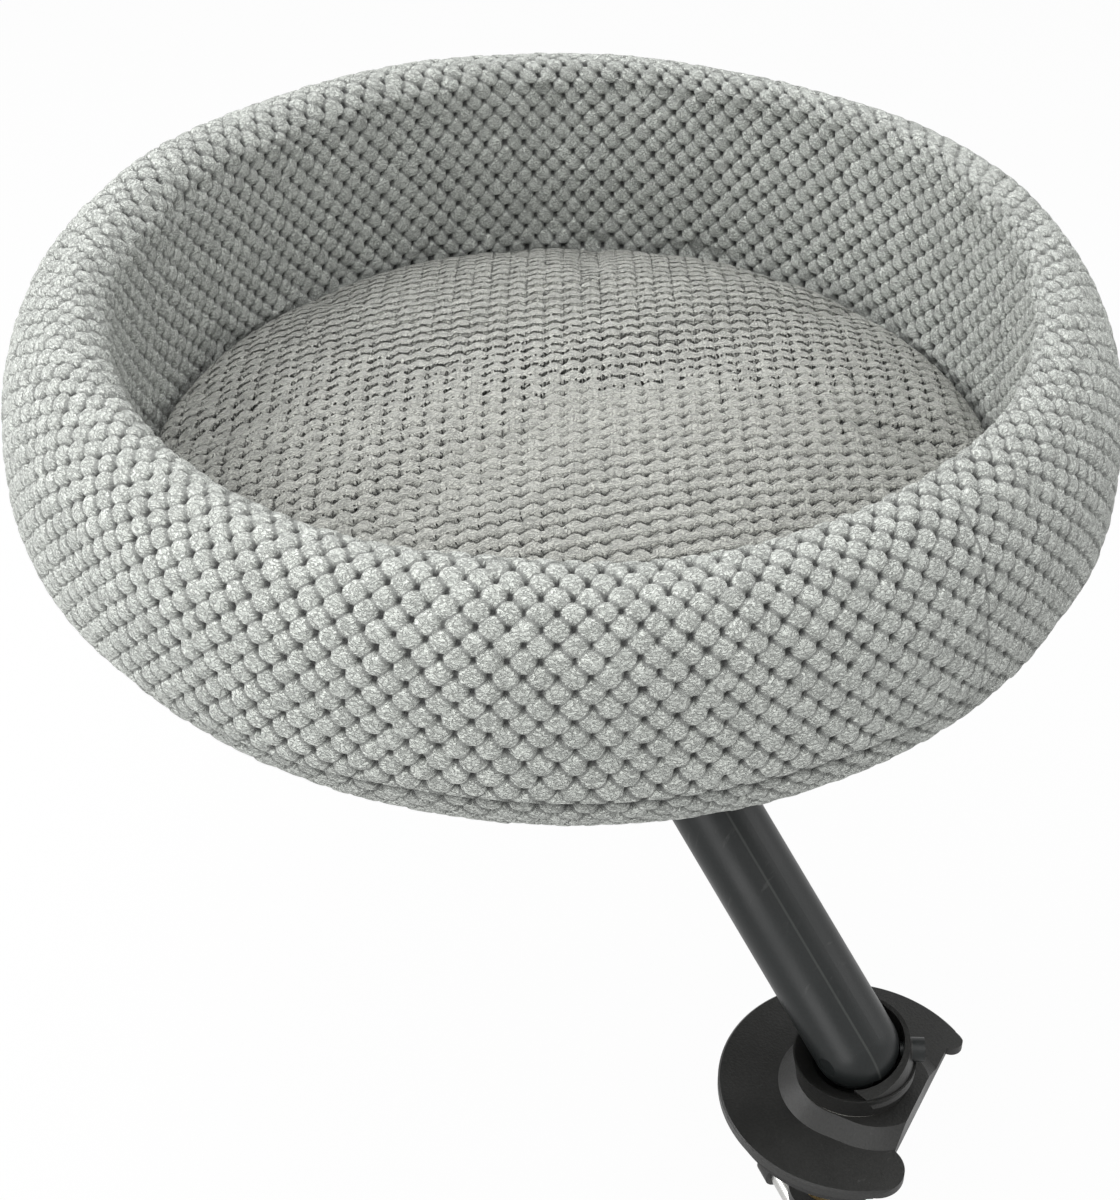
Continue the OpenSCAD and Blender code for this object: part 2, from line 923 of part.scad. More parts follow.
desk_pad();
jaw_plate();
clamp_bracket();
clamp_nut();
clamp_screw();
pressure_plate();
pressure_pad();
clamp_handle();
handle_caps();
base_flange();
base_flange_screws();
base_swivel_washer();
base_turret();
base_retaining_washer();
base_retaining_screw();
base_lock_screw();
base_pivot_pin();
base_tilt_washers();
lower_knuckle();
arm_tube();
upper_knuckle();
top_pivot_pin();
top_tilt_washers();
top_turret();
top_retaining_washer();
top_retaining_screw();
top_lock_screw();
top_swivel_washer();
top_flange();
top_flange_screws();
base_board();
base_foam();
bottom_cover();
wall_foam();
wall_cover();
cushion_fill();
cushion_cover();
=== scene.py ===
"""Looks of a desk-mounted pet bed: knitted covers, painted castings and plated screws."""

import json
import math

import bpy
import numpy as np
from bpy.props import FloatProperty, FloatVectorProperty, IntProperty, PointerProperty
from bpy.types import Operator, Panel, PropertyGroup
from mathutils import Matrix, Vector


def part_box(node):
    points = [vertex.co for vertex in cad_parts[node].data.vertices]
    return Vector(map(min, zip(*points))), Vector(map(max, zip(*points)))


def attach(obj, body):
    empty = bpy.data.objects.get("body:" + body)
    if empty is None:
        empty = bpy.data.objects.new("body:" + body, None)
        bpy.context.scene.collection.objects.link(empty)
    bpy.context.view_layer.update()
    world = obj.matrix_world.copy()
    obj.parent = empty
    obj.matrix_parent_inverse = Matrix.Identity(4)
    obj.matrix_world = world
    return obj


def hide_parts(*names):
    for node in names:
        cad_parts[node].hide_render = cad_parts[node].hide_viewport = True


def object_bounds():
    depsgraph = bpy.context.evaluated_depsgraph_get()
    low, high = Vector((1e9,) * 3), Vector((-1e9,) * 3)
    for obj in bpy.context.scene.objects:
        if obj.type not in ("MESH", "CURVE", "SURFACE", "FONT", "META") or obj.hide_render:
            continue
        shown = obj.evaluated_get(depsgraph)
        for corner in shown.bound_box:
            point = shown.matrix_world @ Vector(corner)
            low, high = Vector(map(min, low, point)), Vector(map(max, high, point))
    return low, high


bl_info = {
    "name": "Desk-mounted pet bed",
    "version": (1, 0, 0),
    "blender": (4, 5, 0),
    "location": "View3D > Sidebar > Pet bed",
    "description": "Dresses a desk-mounted pet bed in knitted covers and painted metal",
    "category": "Object",
}

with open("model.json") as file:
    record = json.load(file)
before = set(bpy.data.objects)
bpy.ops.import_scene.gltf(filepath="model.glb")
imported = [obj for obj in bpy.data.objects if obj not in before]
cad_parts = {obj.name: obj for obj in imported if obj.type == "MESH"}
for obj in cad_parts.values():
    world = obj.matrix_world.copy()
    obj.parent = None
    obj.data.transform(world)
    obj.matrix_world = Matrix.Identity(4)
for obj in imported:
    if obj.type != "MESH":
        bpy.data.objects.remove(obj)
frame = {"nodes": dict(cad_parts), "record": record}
CAD_BOX = [list(corner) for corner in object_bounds()]
WALL_LOW, WALL_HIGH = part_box("wall_cover")
BOARD_LOW, BOARD_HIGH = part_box("base_board")
BASE_LOW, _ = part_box("bottom_cover")
CUSHION_LOW, CUSHION_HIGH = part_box("cushion_cover")
SCREW_LOW, SCREW_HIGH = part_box("clamp_screw")
FLANGE_LOW, FLANGE_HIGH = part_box("base_flange")
TUBE_LOW, TUBE_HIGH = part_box("arm_tube")
BED_X = (WALL_LOW.x + WALL_HIGH.x) / 2
BOARD_THICK = BOARD_HIGH.z - BOARD_LOW.z

# Sewing: how the covers meet and hang, in metres

TUCK_DEPTH = 0.0055  # the wall's cover turns in by this much at the fold
FOLD_STEP = 0.0034  # the base's edge lies this far inside the fold
FOLD_COVER = 0.0012  # and this far below it
FOLD_WAVE = 0.0006  # the fold rises and falls by about this much
FOLD_REACH = 0.012  # and takes the cloth around it along
SHADE_START = 0.003  # painted shadow: the yarn's colour is darkened under the fold, up to SHADE_START + SHADE_LENGTH
SHADE_LENGTH = 0.006
FOLD_SHADOW_LOFT = 0.35
SAG_HEIGHT = 0.04  # the sag grows over this height above the board
PANEL_THICK, PANEL_STEP = 0.002, 0.003
SKIN_GAP = 0.0003
WALL_GAP = 0.0005
FLANGE_ROOM = 0.002

# Meshes of the covers: nets, steps in metres and the cloth's limits

PER_STITCH = 10  # fine columns for each column of stitches
COARSE, WALL_FINE = 5, 6  # the cloth's net is this much coarser, round and along
WALL_STEP = 0.006
BASE_STEP = 0.00105
FADE_ROWS, FLOOR_FADE = 3, 4
LIP_START, LIP_ROWS = 5, 5
LOW_START = 0.0015
WALL_PUFF = 0.004
CUSHION_PUFF = 0.005
PUFF_FRAMES = 20
PRESSURE = 4.0

# Stitches: half sizes as shares of a column and of a pair of rows, and how far lines wander

WALL_STITCH = {"across": 0.43, "along": 0.405, "shift": 0.5}
FLOOR_STITCH = {"across": 0.68, "along": 0.259, "shift": 0.0,
                "skew": -0.06, "arch": 0.045, "uneven": 0.6}
COLUMN_WANDER, ROW_WANDER = 0.22, 0.16
BASE_SHIFT = 0.3  # of a column, from the wall's stitches to the base's
RAISED = 1.1  # a stitch this high would lie on the smooth wall
FLOOR_RAISED = 0.8
FLOOR_RELIEF = 0.9
PLAIN_LOFT = 0.8

SEED_ROWS = 64  # rows until the small differences repeat
ROUNDNESS = 2.3  # power of a stitch's outline: 2 is an ellipse, more is boxier
SIDE_STRAY, ROW_STRAY = 0.03, 0.018
WIDTH_STRAY, HEIGHT_STRAY, TILT_STRAY = 0.05, 0.08, 0.22
SKEW_TILT = 0.3
HIGHEST = 1.15
YARN_JUMP = 0.05  # each stitch's pile starts elsewhere by up to this

WALL_SEED, BASE_SEED, FLOOR_SEED = 3, 5, 9
SWAY_WAVES = (11, 9)  # seed and number of waves of each slow field
COLUMN_WAVES, ROW_WAVES = (31, 8), (37, 8)
LUMP_WAVES = (23, 6)

# Floor cushion

CUSHION_GAP, CROWN_GAP = 0.0015, 0.001
SEAM_HEIGHT = 0.015
FLAT_RADIUS = 0.14
FLOOR_COLUMNS = 96
FLOOR_TURN = math.radians(48.3)
ROW_SLOPE = 0.27
CUSHION_SIDE, CUSHION_FINE = 61, 8
LUMP = 0.0015  # the filling's lumps, which end CALM_EDGE before the seam
CALM_EDGE = 0.03

# Tube, screw and yarn

TUBE_LEAN = math.radians(50)
# Painted highlight: a thin pale line along the tube; its turn, core and edge widths, share and
# colour
LINE_TURN = math.radians(68)
LINE_CORE, LINE_EDGE = 0.0002, 0.0007
LINE_SHARE = 0.4
HIGHLIGHT_LINE_TINT = (0.07, 0.075, 0.07, 1.0)
SCUFFS = 0.35
STREAKS = (260.0, 90.0, 40.0)
SCUFF_TINT = (0.16, 0.16, 0.155, 1.0)
SCREW_PITCH = 0.003
THREAD_RELIEF = 0.0016
BRUSH_LINES = (3000.0, 3000.0, 60.0)
BRUSH_RELIEF = 0.00002
PLY_LINES = (18.0, 420.0, 600.0)
PLY_RELIEF = 0.0003
PILE_RELIEF = 0.0009
STRANDS = (400.0, 680.0, 400.0)  # the yarn's noise, in waves per metre
HAIRS = (800.0, 1350.0, 900.0)
FUZZ, CLOUD = 2600.0, 14.0
STRAND_WIDTH, HAIR_WIDTH = 0.06, 0.09
FULL_LOFT = 0.76  # above this height the painted shade of the gaps is gone
NYLON = (0.62, 0.61, 0.56)

# Light and dark tones of bare metal and board

ZINC = ((0.62, 0.62, 0.60, 1.0), (0.48, 0.48, 0.47, 1.0))
OXIDE = ((0.085, 0.085, 0.09, 1.0), (0.05, 0.05, 0.052, 1.0))
BRASS = ((0.66, 0.48, 0.22, 1.0), (0.50, 0.35, 0.15, 1.0))
BIRCH = ((0.52, 0.38, 0.22, 1.0), (0.34, 0.22, 0.12, 1.0))

# Stage and camera

FLOOR_Z = CAD_BOX[0][2] - 0.04
FLOOR_SPAN = 6.0
FLOOR_GRAY = (0.60, 0.60, 0.60, 1.0)
FLOOR_GLOW = 0.94
SKY_LIGHT = 0.58
WHITE = (1.0, 1.0, 1.0, 1.0)
LAMPS = (  # name, place beside the bed's middle, size and power
    ("left", (-0.92, -0.86, 0.9), 1.1, 23.0),
    ("right", (0.86, 0.97, 0.8), 1.1, 6.0),
    ("front", (0.6, -0.6, 1.3), 1.0, 8.0),
    ("top", (-0.15, 0.1, 1.6), 1.2, 11.0),
    ("low", (0.45, -1.20, 0.08), 0.7, 4.5),
)
CAMERA_PLACE = (0.3678, -0.4884, 0.7474)
CAMERA_TURN = (math.radians(51.292), 0.0, math.radians(48.30))
CAMERA_LENS, CAMERA_SENSOR, CAMERA_REACH = 67.5, 36.0, 50.0


# Settings


class BedSizes(PropertyGroup):
    """Sizes of the padded bed, as the solids have them"""

    belly_radius: FloatProperty(
        name="Belly radius", description="Outer radius of the wall", unit="LENGTH",
        default=(WALL_HIGH.x - WALL_LOW.x) / 2)
    belly_height: FloatProperty(
        name="Belly height", description="Height of the belly above the board's underside",
        unit="LENGTH", default=0.054)
    crest_radius: FloatProperty(
        name="Crest radius", description="Radius at the top of the rim", unit="LENGTH",
        default=0.1785)
    mouth_radius: FloatProperty(
        name="Mouth radius", description="Inner radius of the wall", unit="LENGTH", default=0.172)
    mouth_height: FloatProperty(
        name="Mouth height", description="Height at which the rim turns into the inner wall",
        unit="LENGTH", default=0.100)
    fold_radius: FloatProperty(
        name="Fold radius", description="Radius of the fold where the wall meets the base",
        unit="LENGTH", default=0.2095)
    fold_height: FloatProperty(
        name="Fold height", description="Height of the fold above the board's underside",
        unit="LENGTH", default=0.0415)
    roll_radius: FloatProperty(
        name="Roll radius", description="Radius of the lowest ring of the base", unit="LENGTH",
        default=0.145)
    roll_drop: FloatProperty(
        name="Roll drop", description="How far the base hangs below the board", unit="LENGTH",
        default=BOARD_LOW.z - BASE_LOW.z)
    unevenness: FloatProperty(
        name="Unevenness", description="How far the hand-stuffed wall strays from its round",
        unit="LENGTH", default=0.0016)
    sag: FloatProperty(
        name="Sag", description="How far the stuffed wall sags to one side", unit="LENGTH",
        default=0.0045)
    sag_turn: FloatProperty(
        name="Sag direction", description="Direction of the sag, turned from +X", subtype="ANGLE",
        default=math.radians(228.3))


class KnitSettings(PropertyGroup):
    """The stitches of the covers"""

    columns: IntProperty(
        name="Columns", description="Stitches round the wall", default=124, min=24, max=400)
    row_pitch: FloatProperty(
        name="Row pitch", description="Distance between rows on the wall", unit="LENGTH",
        default=0.0054)
    relief: FloatProperty(
        name="Relief", description="Height of a stitch above the gaps", unit="LENGTH",
        default=0.0028)
    floor_width: FloatProperty(
        name="Floor stitch width", description="Width of a stitch on the floor cushion",
        unit="LENGTH", default=0.0077)
    floor_pitch: FloatProperty(
        name="Floor row pitch", description="Distance between rows on the floor cushion",
        unit="LENGTH", default=0.0069)
    yarn: FloatVectorProperty(
        name="Yarn", description="Colour of the yarn", subtype="COLOR", size=3,
        default=(0.56, 0.583, 0.547))
    # Painted shade and warm bounce light: the floor cushion's yarn is a darker, warmer copy of the
    # wall's yarn
    floor_yarn_shaded: FloatVectorProperty(
        name="Floor yarn", description="Colour of the floor cushion's yarn", subtype="COLOR",
        size=3, default=(0.50, 0.505, 0.465))
    # Painted shade: the colour of the gaps and creases between stitches, darkened for the shade that
    # falls down there
    shade: FloatVectorProperty(
        name="Gaps", description="Colour down between the stitches", subtype="COLOR", size=3,
        default=(0.075, 0.080, 0.073))


class FinishSettings(PropertyGroup):
    """Colours of the hard parts"""

    casting: FloatVectorProperty(
        name="Castings", description="Powder coat of the flanges and turrets", subtype="COLOR",
        size=3, default=(0.0125, 0.0125, 0.0118))
    tube: FloatVectorProperty(
        name="Tube", description="Paint of the arm", subtype="COLOR", size=3,
        default=(0.0105, 0.0122, 0.0122))
    rubber: FloatVectorProperty(
        name="Rubber", description="Pads", subtype="COLOR", size=3, default=(0.018, 0.018, 0.018))


# Shapes


def bezier(points, steps):
    """Cubic curve: the four points weighted by u^3, 3u^2t, 3ut^2 and t^3, with u = 1 - t."""
    t = np.linspace(0, 1, steps + 1)[:, None]
    u = 1 - t
    p = np.asarray(points, float)
    return u**3 * p[0] + 3 * u**2 * t * p[1] + 3 * u * t**2 * p[2] + t**3 * p[3]


def even_steps(path, step):
    """The path resampled at even lengths of about one step, with the length up to each point."""
    path = path[np.r_[True, np.any(np.abs(np.diff(path, axis=0)) > 1e-9, axis=1)]]
    length = np.r_[0, np.cumsum(np.hypot(*np.diff(path, axis=0).T))]
    at = np.linspace(0, length[-1], max(2, int(round(length[-1] / step))) + 1)
    return np.stack([np.interp(at, length, path[:, 0]), np.interp(at, length, path[:, 1])], 1), at


def wall_path(size):
    """Fold, belly, crest, mouth and down the inner wall, as radius and height above the board."""
    rim = WALL_HIGH.z - BOARD_LOW.z
    fold = np.array([size.fold_radius, size.fold_height])
    belly = np.array([size.belly_radius, size.belly_height])
    crest = np.array([size.crest_radius, rim])
    mouth = np.array([size.mouth_radius, size.mouth_height])
    low, high, inner = np.abs(belly - fold), np.abs(belly - crest), np.abs(crest - mouth)
    return np.concatenate([
        [fold - [TUCK_DEPTH, 0]],
        bezier([fold, fold + low * [0.75, 0.05], belly - low * [0, 0.6], belly], 12),
        bezier([belly, belly + high * [0, 0.64], crest + high * [0.64, 0], crest], 24),
        bezier([crest, crest - inner * [0.6, 0], mouth + inner * [0, 0.6], mouth], 16),
        [[size.mouth_radius, BOARD_THICK]],
    ])


def base_path(size):
    """The base from under the fold to the flat panel, as radius and height above the board."""
    edge = np.array([size.fold_radius - FOLD_STEP, size.fold_height - FOLD_COVER])
    low = np.array([size.roll_radius, -size.roll_drop])
    back = np.array([(BOARD_HIGH.x - BOARD_LOW.x) / 2, -PANEL_THICK])
    return np.concatenate([
        bezier([edge, edge + [0.0022, (low[1] - edge[1]) * 0.58],
                low + [(edge[0] - low[0]) * 0.16, 0], low], 24),
        bezier([low, low - [(low[0] - back[0]) * 0.5, 0],
                back + [(low[0] - back[0]) * 0.5, 0], back], 12),
    ])


def sagged(grid, size):
    """Moves the outside sideways, smoothly more from the board up to the belly; the inside stays.

    The share is 3t^2 - 2t^3 of the height. The fold rises and falls a little on its way round: a
    sum of three sines of the angle, which dies away above and below as a bell curve.
    """
    rise = np.clip((grid[:, :, 2] - BOARD_HIGH.z) / SAG_HEIGHT, 0, 1)
    radius = np.hypot(grid[:, :, 0] - BED_X, grid[:, :, 1])
    rim = size.crest_radius - size.mouth_radius
    outside = np.clip((radius - size.mouth_radius) / rim, 0, 1)
    side = rise * rise * (3 - 2 * rise) * outside * size.sag
    grid[:, :, 0] += side * math.cos(size.sag_turn)
    grid[:, :, 1] += side * math.sin(size.sag_turn)
    turn = np.arange(len(grid))[:, None] * 2 * math.pi / len(grid)
    wave = np.sin(3 * turn + 1.0) + 0.7 * np.sin(7 * turn + 2.0) + 0.5 * np.sin(12 * turn)
    near = np.exp(-((grid[:, :, 2] - BOARD_LOW.z - size.fold_height) / FOLD_REACH) ** 2)
    grid[:, :, 2] += FOLD_WAVE * wave * near * outside
    return grid


def revolve(path, columns):
    """Radius and height carried round the bed's axis: x = r cos a, y = r sin a, z = height."""
    a = np.arange(columns) * 2 * math.pi / columns
    x = BED_X + path[None, :, 0] * np.cos(a)[:, None]
    y = path[None, :, 0] * np.sin(a)[:, None]
    z = np.broadcast_to(BOARD_LOW.z + path[None, :, 1], x.shape)
    return np.stack([x, y, z], 2)


def refine(grid, factor, axis, wrap):
    """More points along one axis, on the cubic that passes through its neighbours (Catmull-Rom)."""
    g = np.moveaxis(grid, axis, 0)
    n = len(g)
    count = n * factor if wrap else (n - 1) * factor + 1
    at = np.arange(count) / factor
    i = np.minimum(np.floor(at).astype(int), n - 1 if wrap else n - 2)
    t = (at - i).reshape((-1,) + (1,) * (g.ndim - 1))
    pick = (lambda k: g[k % n]) if wrap else (lambda k: g[np.clip(k, 0, n - 1)])
    a, b, c, d = pick(i - 1), pick(i), pick(i + 1), pick(i + 2)
    out = b + 0.5 * t * (c - a + t * (2 * a - 5 * b + 4 * c - d + t * (3 * (b - c) + d - a)))
    return np.moveaxis(out, 0, axis)


def normals(grid, wrap):
    """Cross product of the two directions of the grid, at every point."""
    if wrap:
        along = np.roll(grid, -1, 0) - np.roll(grid, 1, 0)
    else:
        along = np.gradient(grid, axis=0)
    n = np.cross(along, np.gradient(grid, axis=1))
    return n / np.maximum(np.linalg.norm(n, axis=2, keepdims=True), 1e-12)


def outer_normals(grid, wrap):
    """The same, turned away from the bed's axis where the section is widest."""
    out = normals(grid, wrap)
    spoke = grid[0, :, :2] - [BED_X, 0]
    widest = np.argmax(np.hypot(spoke[:, 0], spoke[:, 1]))
    return out * np.sign(np.sum(out[0, widest, :2] * spoke[widest]))


def end_fade(count, width):
    """Rises from 0 to 1 over the first points and falls to 0 over the last ones."""
    at = np.arange(count)
    return np.clip(np.minimum(at, count - 1 - at) / width, 0, 1)


def raised(grid, out, height, fade):
    """The grid moved along its normals by a height at every point, less towards the ends."""
    return grid + out * (height * fade)[:, :, None]


def lay_of(around, along, tone):
    """Where each point lies on the flat fabric, in metres, with a jump from stitch to stitch."""
    return np.stack([around, along, YARN_JUMP * tone], 2).reshape(-1, 3)


def wander(shape, seed, waves, wrap):
    """A slow seeded wave field: a sum of sines of random phase, about -1 to 1."""
    rng = np.random.default_rng(seed)
    a = np.linspace(0, 2 * math.pi, shape[0], endpoint=not wrap)[:, None]
    b = np.linspace(0, 2 * math.pi, shape[1])[None, :]
    total = np.zeros(shape)
    for k in range(2, 2 + waves):
        phase = rng.uniform(0, 2 * math.pi, 2)
        total += np.sin(k * a + phase[0] + 0.6 * np.sin(b + phase[1])) / math.sqrt(k)
    return total / math.sqrt(waves)


def stitches(u, v, seed, columns, across, along, shift, skew=0.0, arch=0.0, uneven=1.0):
    """Stitches as flat pillows on a lattice.

    u counts columns and v counts pairs of rows; the second row of a pair is moved by shift, and
    arch bows each stitch upwards. With n = ROUNDNESS and d = |du / across|^n + |dv / along|^n the
    height is the root of 1 - d^2, and the nearer of the two rows wins. That leaves a thin crease
    between stitches and a hole where their sizes don't reach. Each has its own small offset, tilt,
    width and height from a seeded table. Returns the height, from 0 to HIGHEST, and a tone.
    """
    table = np.random.default_rng(seed).uniform(-1, 1, (6, columns, SEED_ROWS))
    best = np.full(u.shape, 9.0)
    tone = np.zeros(u.shape)
    lift = np.zeros(u.shape)
    v = v - arch * np.cos(2 * math.pi * u)
    for k in (0, 1):
        i, j = np.round(u - shift * k), np.round(v - 0.5 * k)
        pick = (i.astype(int) % columns, (2 * j.astype(int) + k) % SEED_ROWS)
        du = u - shift * k - i + SIDE_STRAY * table[0][pick]
        dv = v - 0.5 * k - j + ROW_STRAY * uneven * table[1][pick] - skew * du
        wide = across * (1 + WIDTH_STRAY * table[4][pick])
        d = np.abs(du / wide) ** ROUNDNESS + np.abs(dv / along) ** ROUNDNESS
        nearer = d < best
        best = np.where(nearer, d, best)
        tone = np.where(nearer, table[2][pick], tone)
        tilt = uneven * (HEIGHT_STRAY * table[3][pick] + TILT_STRAY * table[5][pick] * du)
        lift = np.where(nearer, tilt + SKEW_TILT * skew * du, lift)
    dome = np.sqrt(np.clip(1 - best**2, 0, 1))
    return np.clip(dome * (1 + lift), 0, HIGHEST), tone


# Meshes


def quads(index, wrap):
    """The four corners of every cell of a grid of point numbers."""
    a = np.concatenate([index, index[:1]]) if wrap else index
    return np.stack([a[:-1, :-1], a[1:, :-1], a[1:, 1:], a[:-1, 1:]], 2).reshape(-1, 4)


def outward(points, faces):
    """The faces turned so that the volume they enclose is positive."""
    p = points[faces]
    volume = np.einsum("ij,ij->", p[:, 0], np.cross(p[:, 1], p[:, 2]))
    if faces.shape[1] == 4:
        volume += np.einsum("ij,ij->", p[:, 0], np.cross(p[:, 2], p[:, 3]))
    return faces if volume > 0 else faces[:, ::-1]


def ring_faces(grid):
    """Cells of a grid that closes both round the bed and from its last column to its first."""
    index = np.arange(grid.shape[0] * grid.shape[1]).reshape(grid.shape[:2])
    faces = np.concatenate([quads(index, True), quads(index[:, [-1, 0]], True)])
    return outward(grid.reshape(-1, 3), faces)


def make_object(name, points, faces, attributes=()):
    """A smooth mesh object at the origin from points and a list of face arrays."""
    mesh = bpy.data.meshes.new(name)
    mesh.vertices.add(len(points))
    mesh.vertices.foreach_set("co", np.ascontiguousarray(points, np.float32).ravel())
    sizes = np.concatenate([np.full(len(part), part.shape[1]) for part in faces])
    mesh.loops.add(int(sizes.sum()))
    mesh.loops.foreach_set("vertex_index", np.concatenate([part.ravel() for part in faces]))
    mesh.polygons.add(len(sizes))
    mesh.polygons.foreach_set("loop_start", np.r_[0, np.cumsum(sizes)[:-1]])
    mesh.polygons.foreach_set("use_smooth", np.ones(len(sizes), bool))
    for key, values in attributes:
        vector = values.ndim == 2 and values.shape[1] == 3
        layer = mesh.attributes.new(key, "FLOAT_VECTOR" if vector else "FLOAT", "POINT")
        entry = "vector" if vector else "value"
        layer.data.foreach_set(entry, np.ascontiguousarray(values, np.float32).ravel())
    mesh.update(calc_edges=True)
    mesh.validate()
    obj = bpy.data.objects.new(name, mesh)
    bpy.context.scene.collection.objects.link(obj)
    return obj


def puff(points, faces, pinned, cap):
    """Blows a closed mesh up as cloth for some frames; no point moves more than the cap."""
    obj = make_object("puffing", points, [faces])
    group = obj.vertex_groups.new(name="held")
    group.add(np.flatnonzero(pinned).tolist(), 1.0, "REPLACE")
    cloth = obj.modifiers.new("Cloth", "CLOTH")
    cloth.settings.use_pressure = True
    cloth.settings.uniform_pressure_force = PRESSURE
    cloth.settings.effector_weights.gravity = 0
    cloth.settings.vertex_group_mass = "held"
    cloth.settings.quality = 4
    cloth.point_cache.frame_end = PUFF_FRAMES + 1
    scene = bpy.context.scene
    for step in range(1, PUFF_FRAMES + 1):
        scene.frame_set(step)
    evaluated = obj.evaluated_get(bpy.context.evaluated_depsgraph_get())
    moved = np.empty(len(points) * 3, np.float32)
    evaluated.data.vertices.foreach_get("co", moved)
    scene.frame_set(1)
    bpy.data.objects.remove(obj)
    shift = moved.reshape(-1, 3).astype(float) - points
    size = np.linalg.norm(shift, axis=1, keepdims=True)
    return points + shift * np.minimum(1, cap / np.maximum(size, 1e-9))


def finish_piece(obj, body, slot, material, *nodes):
    """Gives a piece its material and body, and hides the solids that it stands for; the slot is not
    used.
    """
    obj.data.materials.append(material)
    if nodes:
        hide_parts(*nodes)
    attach(obj, body)
    return obj


# Materials


def group_tree(name, inputs, outputs):
    """An empty shader group with named sockets; returns its tree, input node and output node."""
    tree = bpy.data.node_groups.new(name, "ShaderNodeTree")
    for label, kind, value in inputs:
        item = tree.interface.new_socket(label, in_out="INPUT", socket_type=kind)
        if value is not None:
            item.default_value = value
    for label, kind in outputs:
        tree.interface.new_socket(label, in_out="OUTPUT", socket_type=kind)
    return tree, tree.nodes.new("NodeGroupInput"), tree.nodes.new("NodeGroupOutput")


class Wires:
    """Short calls for adding and joining shader nodes in one tree."""

    def __init__(self, tree):
        self.tree = tree

    def join(self, source, target):
        self.tree.links.new(source, target)

    def node(self, kind, **values):
        """A new node with some of its settings changed."""
        made = self.tree.nodes.new(kind)
        for key, value in values.items():
            setattr(made, key, value)
        return made

    def put(self, socket, value):
        """Joins a socket to the input, or writes a plain value into it."""
        if isinstance(value, bpy.types.NodeSocket):
            self.join(value, socket)
        else:
            socket.default_value = value

    def math(self, operation, a, b=0.0):
        made = self.node("ShaderNodeMath", operation=operation)
        self.put(made.inputs[0], a)
        self.put(made.inputs[1], b)
        return made.outputs[0]

    def vector_math(self, operation, a, b):
        made = self.node("ShaderNodeVectorMath", operation=operation)
        self.put(made.inputs[0], a)
        self.put(made.inputs[1], b)
        return made.outputs

    def dot(self, vector, direction):
        return self.vector_math("DOT_PRODUCT", vector, direction)["Value"]

    def shifted(self, vector, origin):
        return self.vector_math("SUBTRACT", vector, origin)[0]

    def stretched(self, vector, scale):
        return self.vector_math("MULTIPLY", vector, scale)[0]

    def noise(self, vector, scale, detail=2.0, roughness=0.5):
        """Smooth noise, mostly between 0.3 and 0.7."""
        made = self.node("ShaderNodeTexNoise")
        self.join(vector, made.inputs["Vector"])
        self.put(made.inputs["Scale"], scale)
        made.inputs["Detail"].default_value = detail
        made.inputs["Roughness"].default_value = roughness
        return made.outputs["Fac"]

    def spread(self, value, low, high, out_low=0.0, out_high=1.0):
        """A soft step: 3t^2 - 2t^3 of the value's way from low to high."""
        made = self.node("ShaderNodeMapRange", interpolation_type="SMOOTHSTEP")
        for socket, entry in zip(made.inputs, (value, low, high, out_low, out_high)):
            self.put(socket, entry)
        return made.outputs[0]

    def mix(self, factor, a, b, blend="MIX"):
        """Colour a with factor parts of colour b, mixed or multiplied."""
        made = self.node("ShaderNodeMix", data_type="RGBA", blend_type=blend)
        self.put(made.inputs["Factor"], factor)
        self.put(made.inputs["A"], a)
        self.put(made.inputs["B"], b)
        return made.outputs["Result"]


def grain_group():
    """Fine speckle of paint, rubber or plastic with a slow drift of tone."""
    tree, start, end = group_tree(
        "surface_grain",
        [("Vector", "NodeSocketVector", None), ("Scale", "NodeSocketFloat", 900.0),
         ("Light", "NodeSocketColor", None), ("Dark", "NodeSocketColor", None),
         ("Smooth", "NodeSocketFloat", 0.4), ("Rough", "NodeSocketFloat", 0.6)],
        [("Color", "NodeSocketColor"), ("Roughness", "NodeSocketFloat"),
         ("Height", "NodeSocketFloat")])
    w = Wires(tree)
    fine = w.noise(start.outputs["Vector"], start.outputs["Scale"], 3.0, 0.6)
    slow = w.noise(start.outputs["Vector"], 22.0, 3.0, 0.55)
    both = w.math("ADD", w.math("MULTIPLY", fine, 0.55), w.math("MULTIPLY", slow, 0.45))
    factor = w.spread(both, 0.35, 0.65)
    w.join(w.mix(factor, start.outputs["Dark"], start.outputs["Light"]), end.inputs["Color"])
    low, high = start.outputs["Smooth"], start.outputs["Rough"]
    w.join(w.spread(slow, 0.3, 0.7, low, high), end.inputs["Roughness"])
    w.join(fine, end.inputs["Height"])
    return tree


def scuff_group():
    """Sparse pale rubs and dust: stretched noise cut off high."""
    tree, start, end = group_tree(
        "light_scuffs",
        [("Vector", "NodeSocketVector", None), ("Amount", "NodeSocketFloat", 0.3)],
        [("Mask", "NodeSocketFloat")])
    w = Wires(tree)
    streak = w.noise(w.stretched(start.outputs["Vector"], STREAKS), 1.0, 4.0, 0.65)
    patch = w.noise(start.outputs["Vector"], 30.0, 2.0)
    mask = w.math("MULTIPLY", w.spread(streak, 0.60, 0.78), w.spread(patch, 0.45, 0.7))
    w.join(w.math("MULTIPLY", mask, start.outputs["Amount"]), end.inputs["Mask"])
    return tree


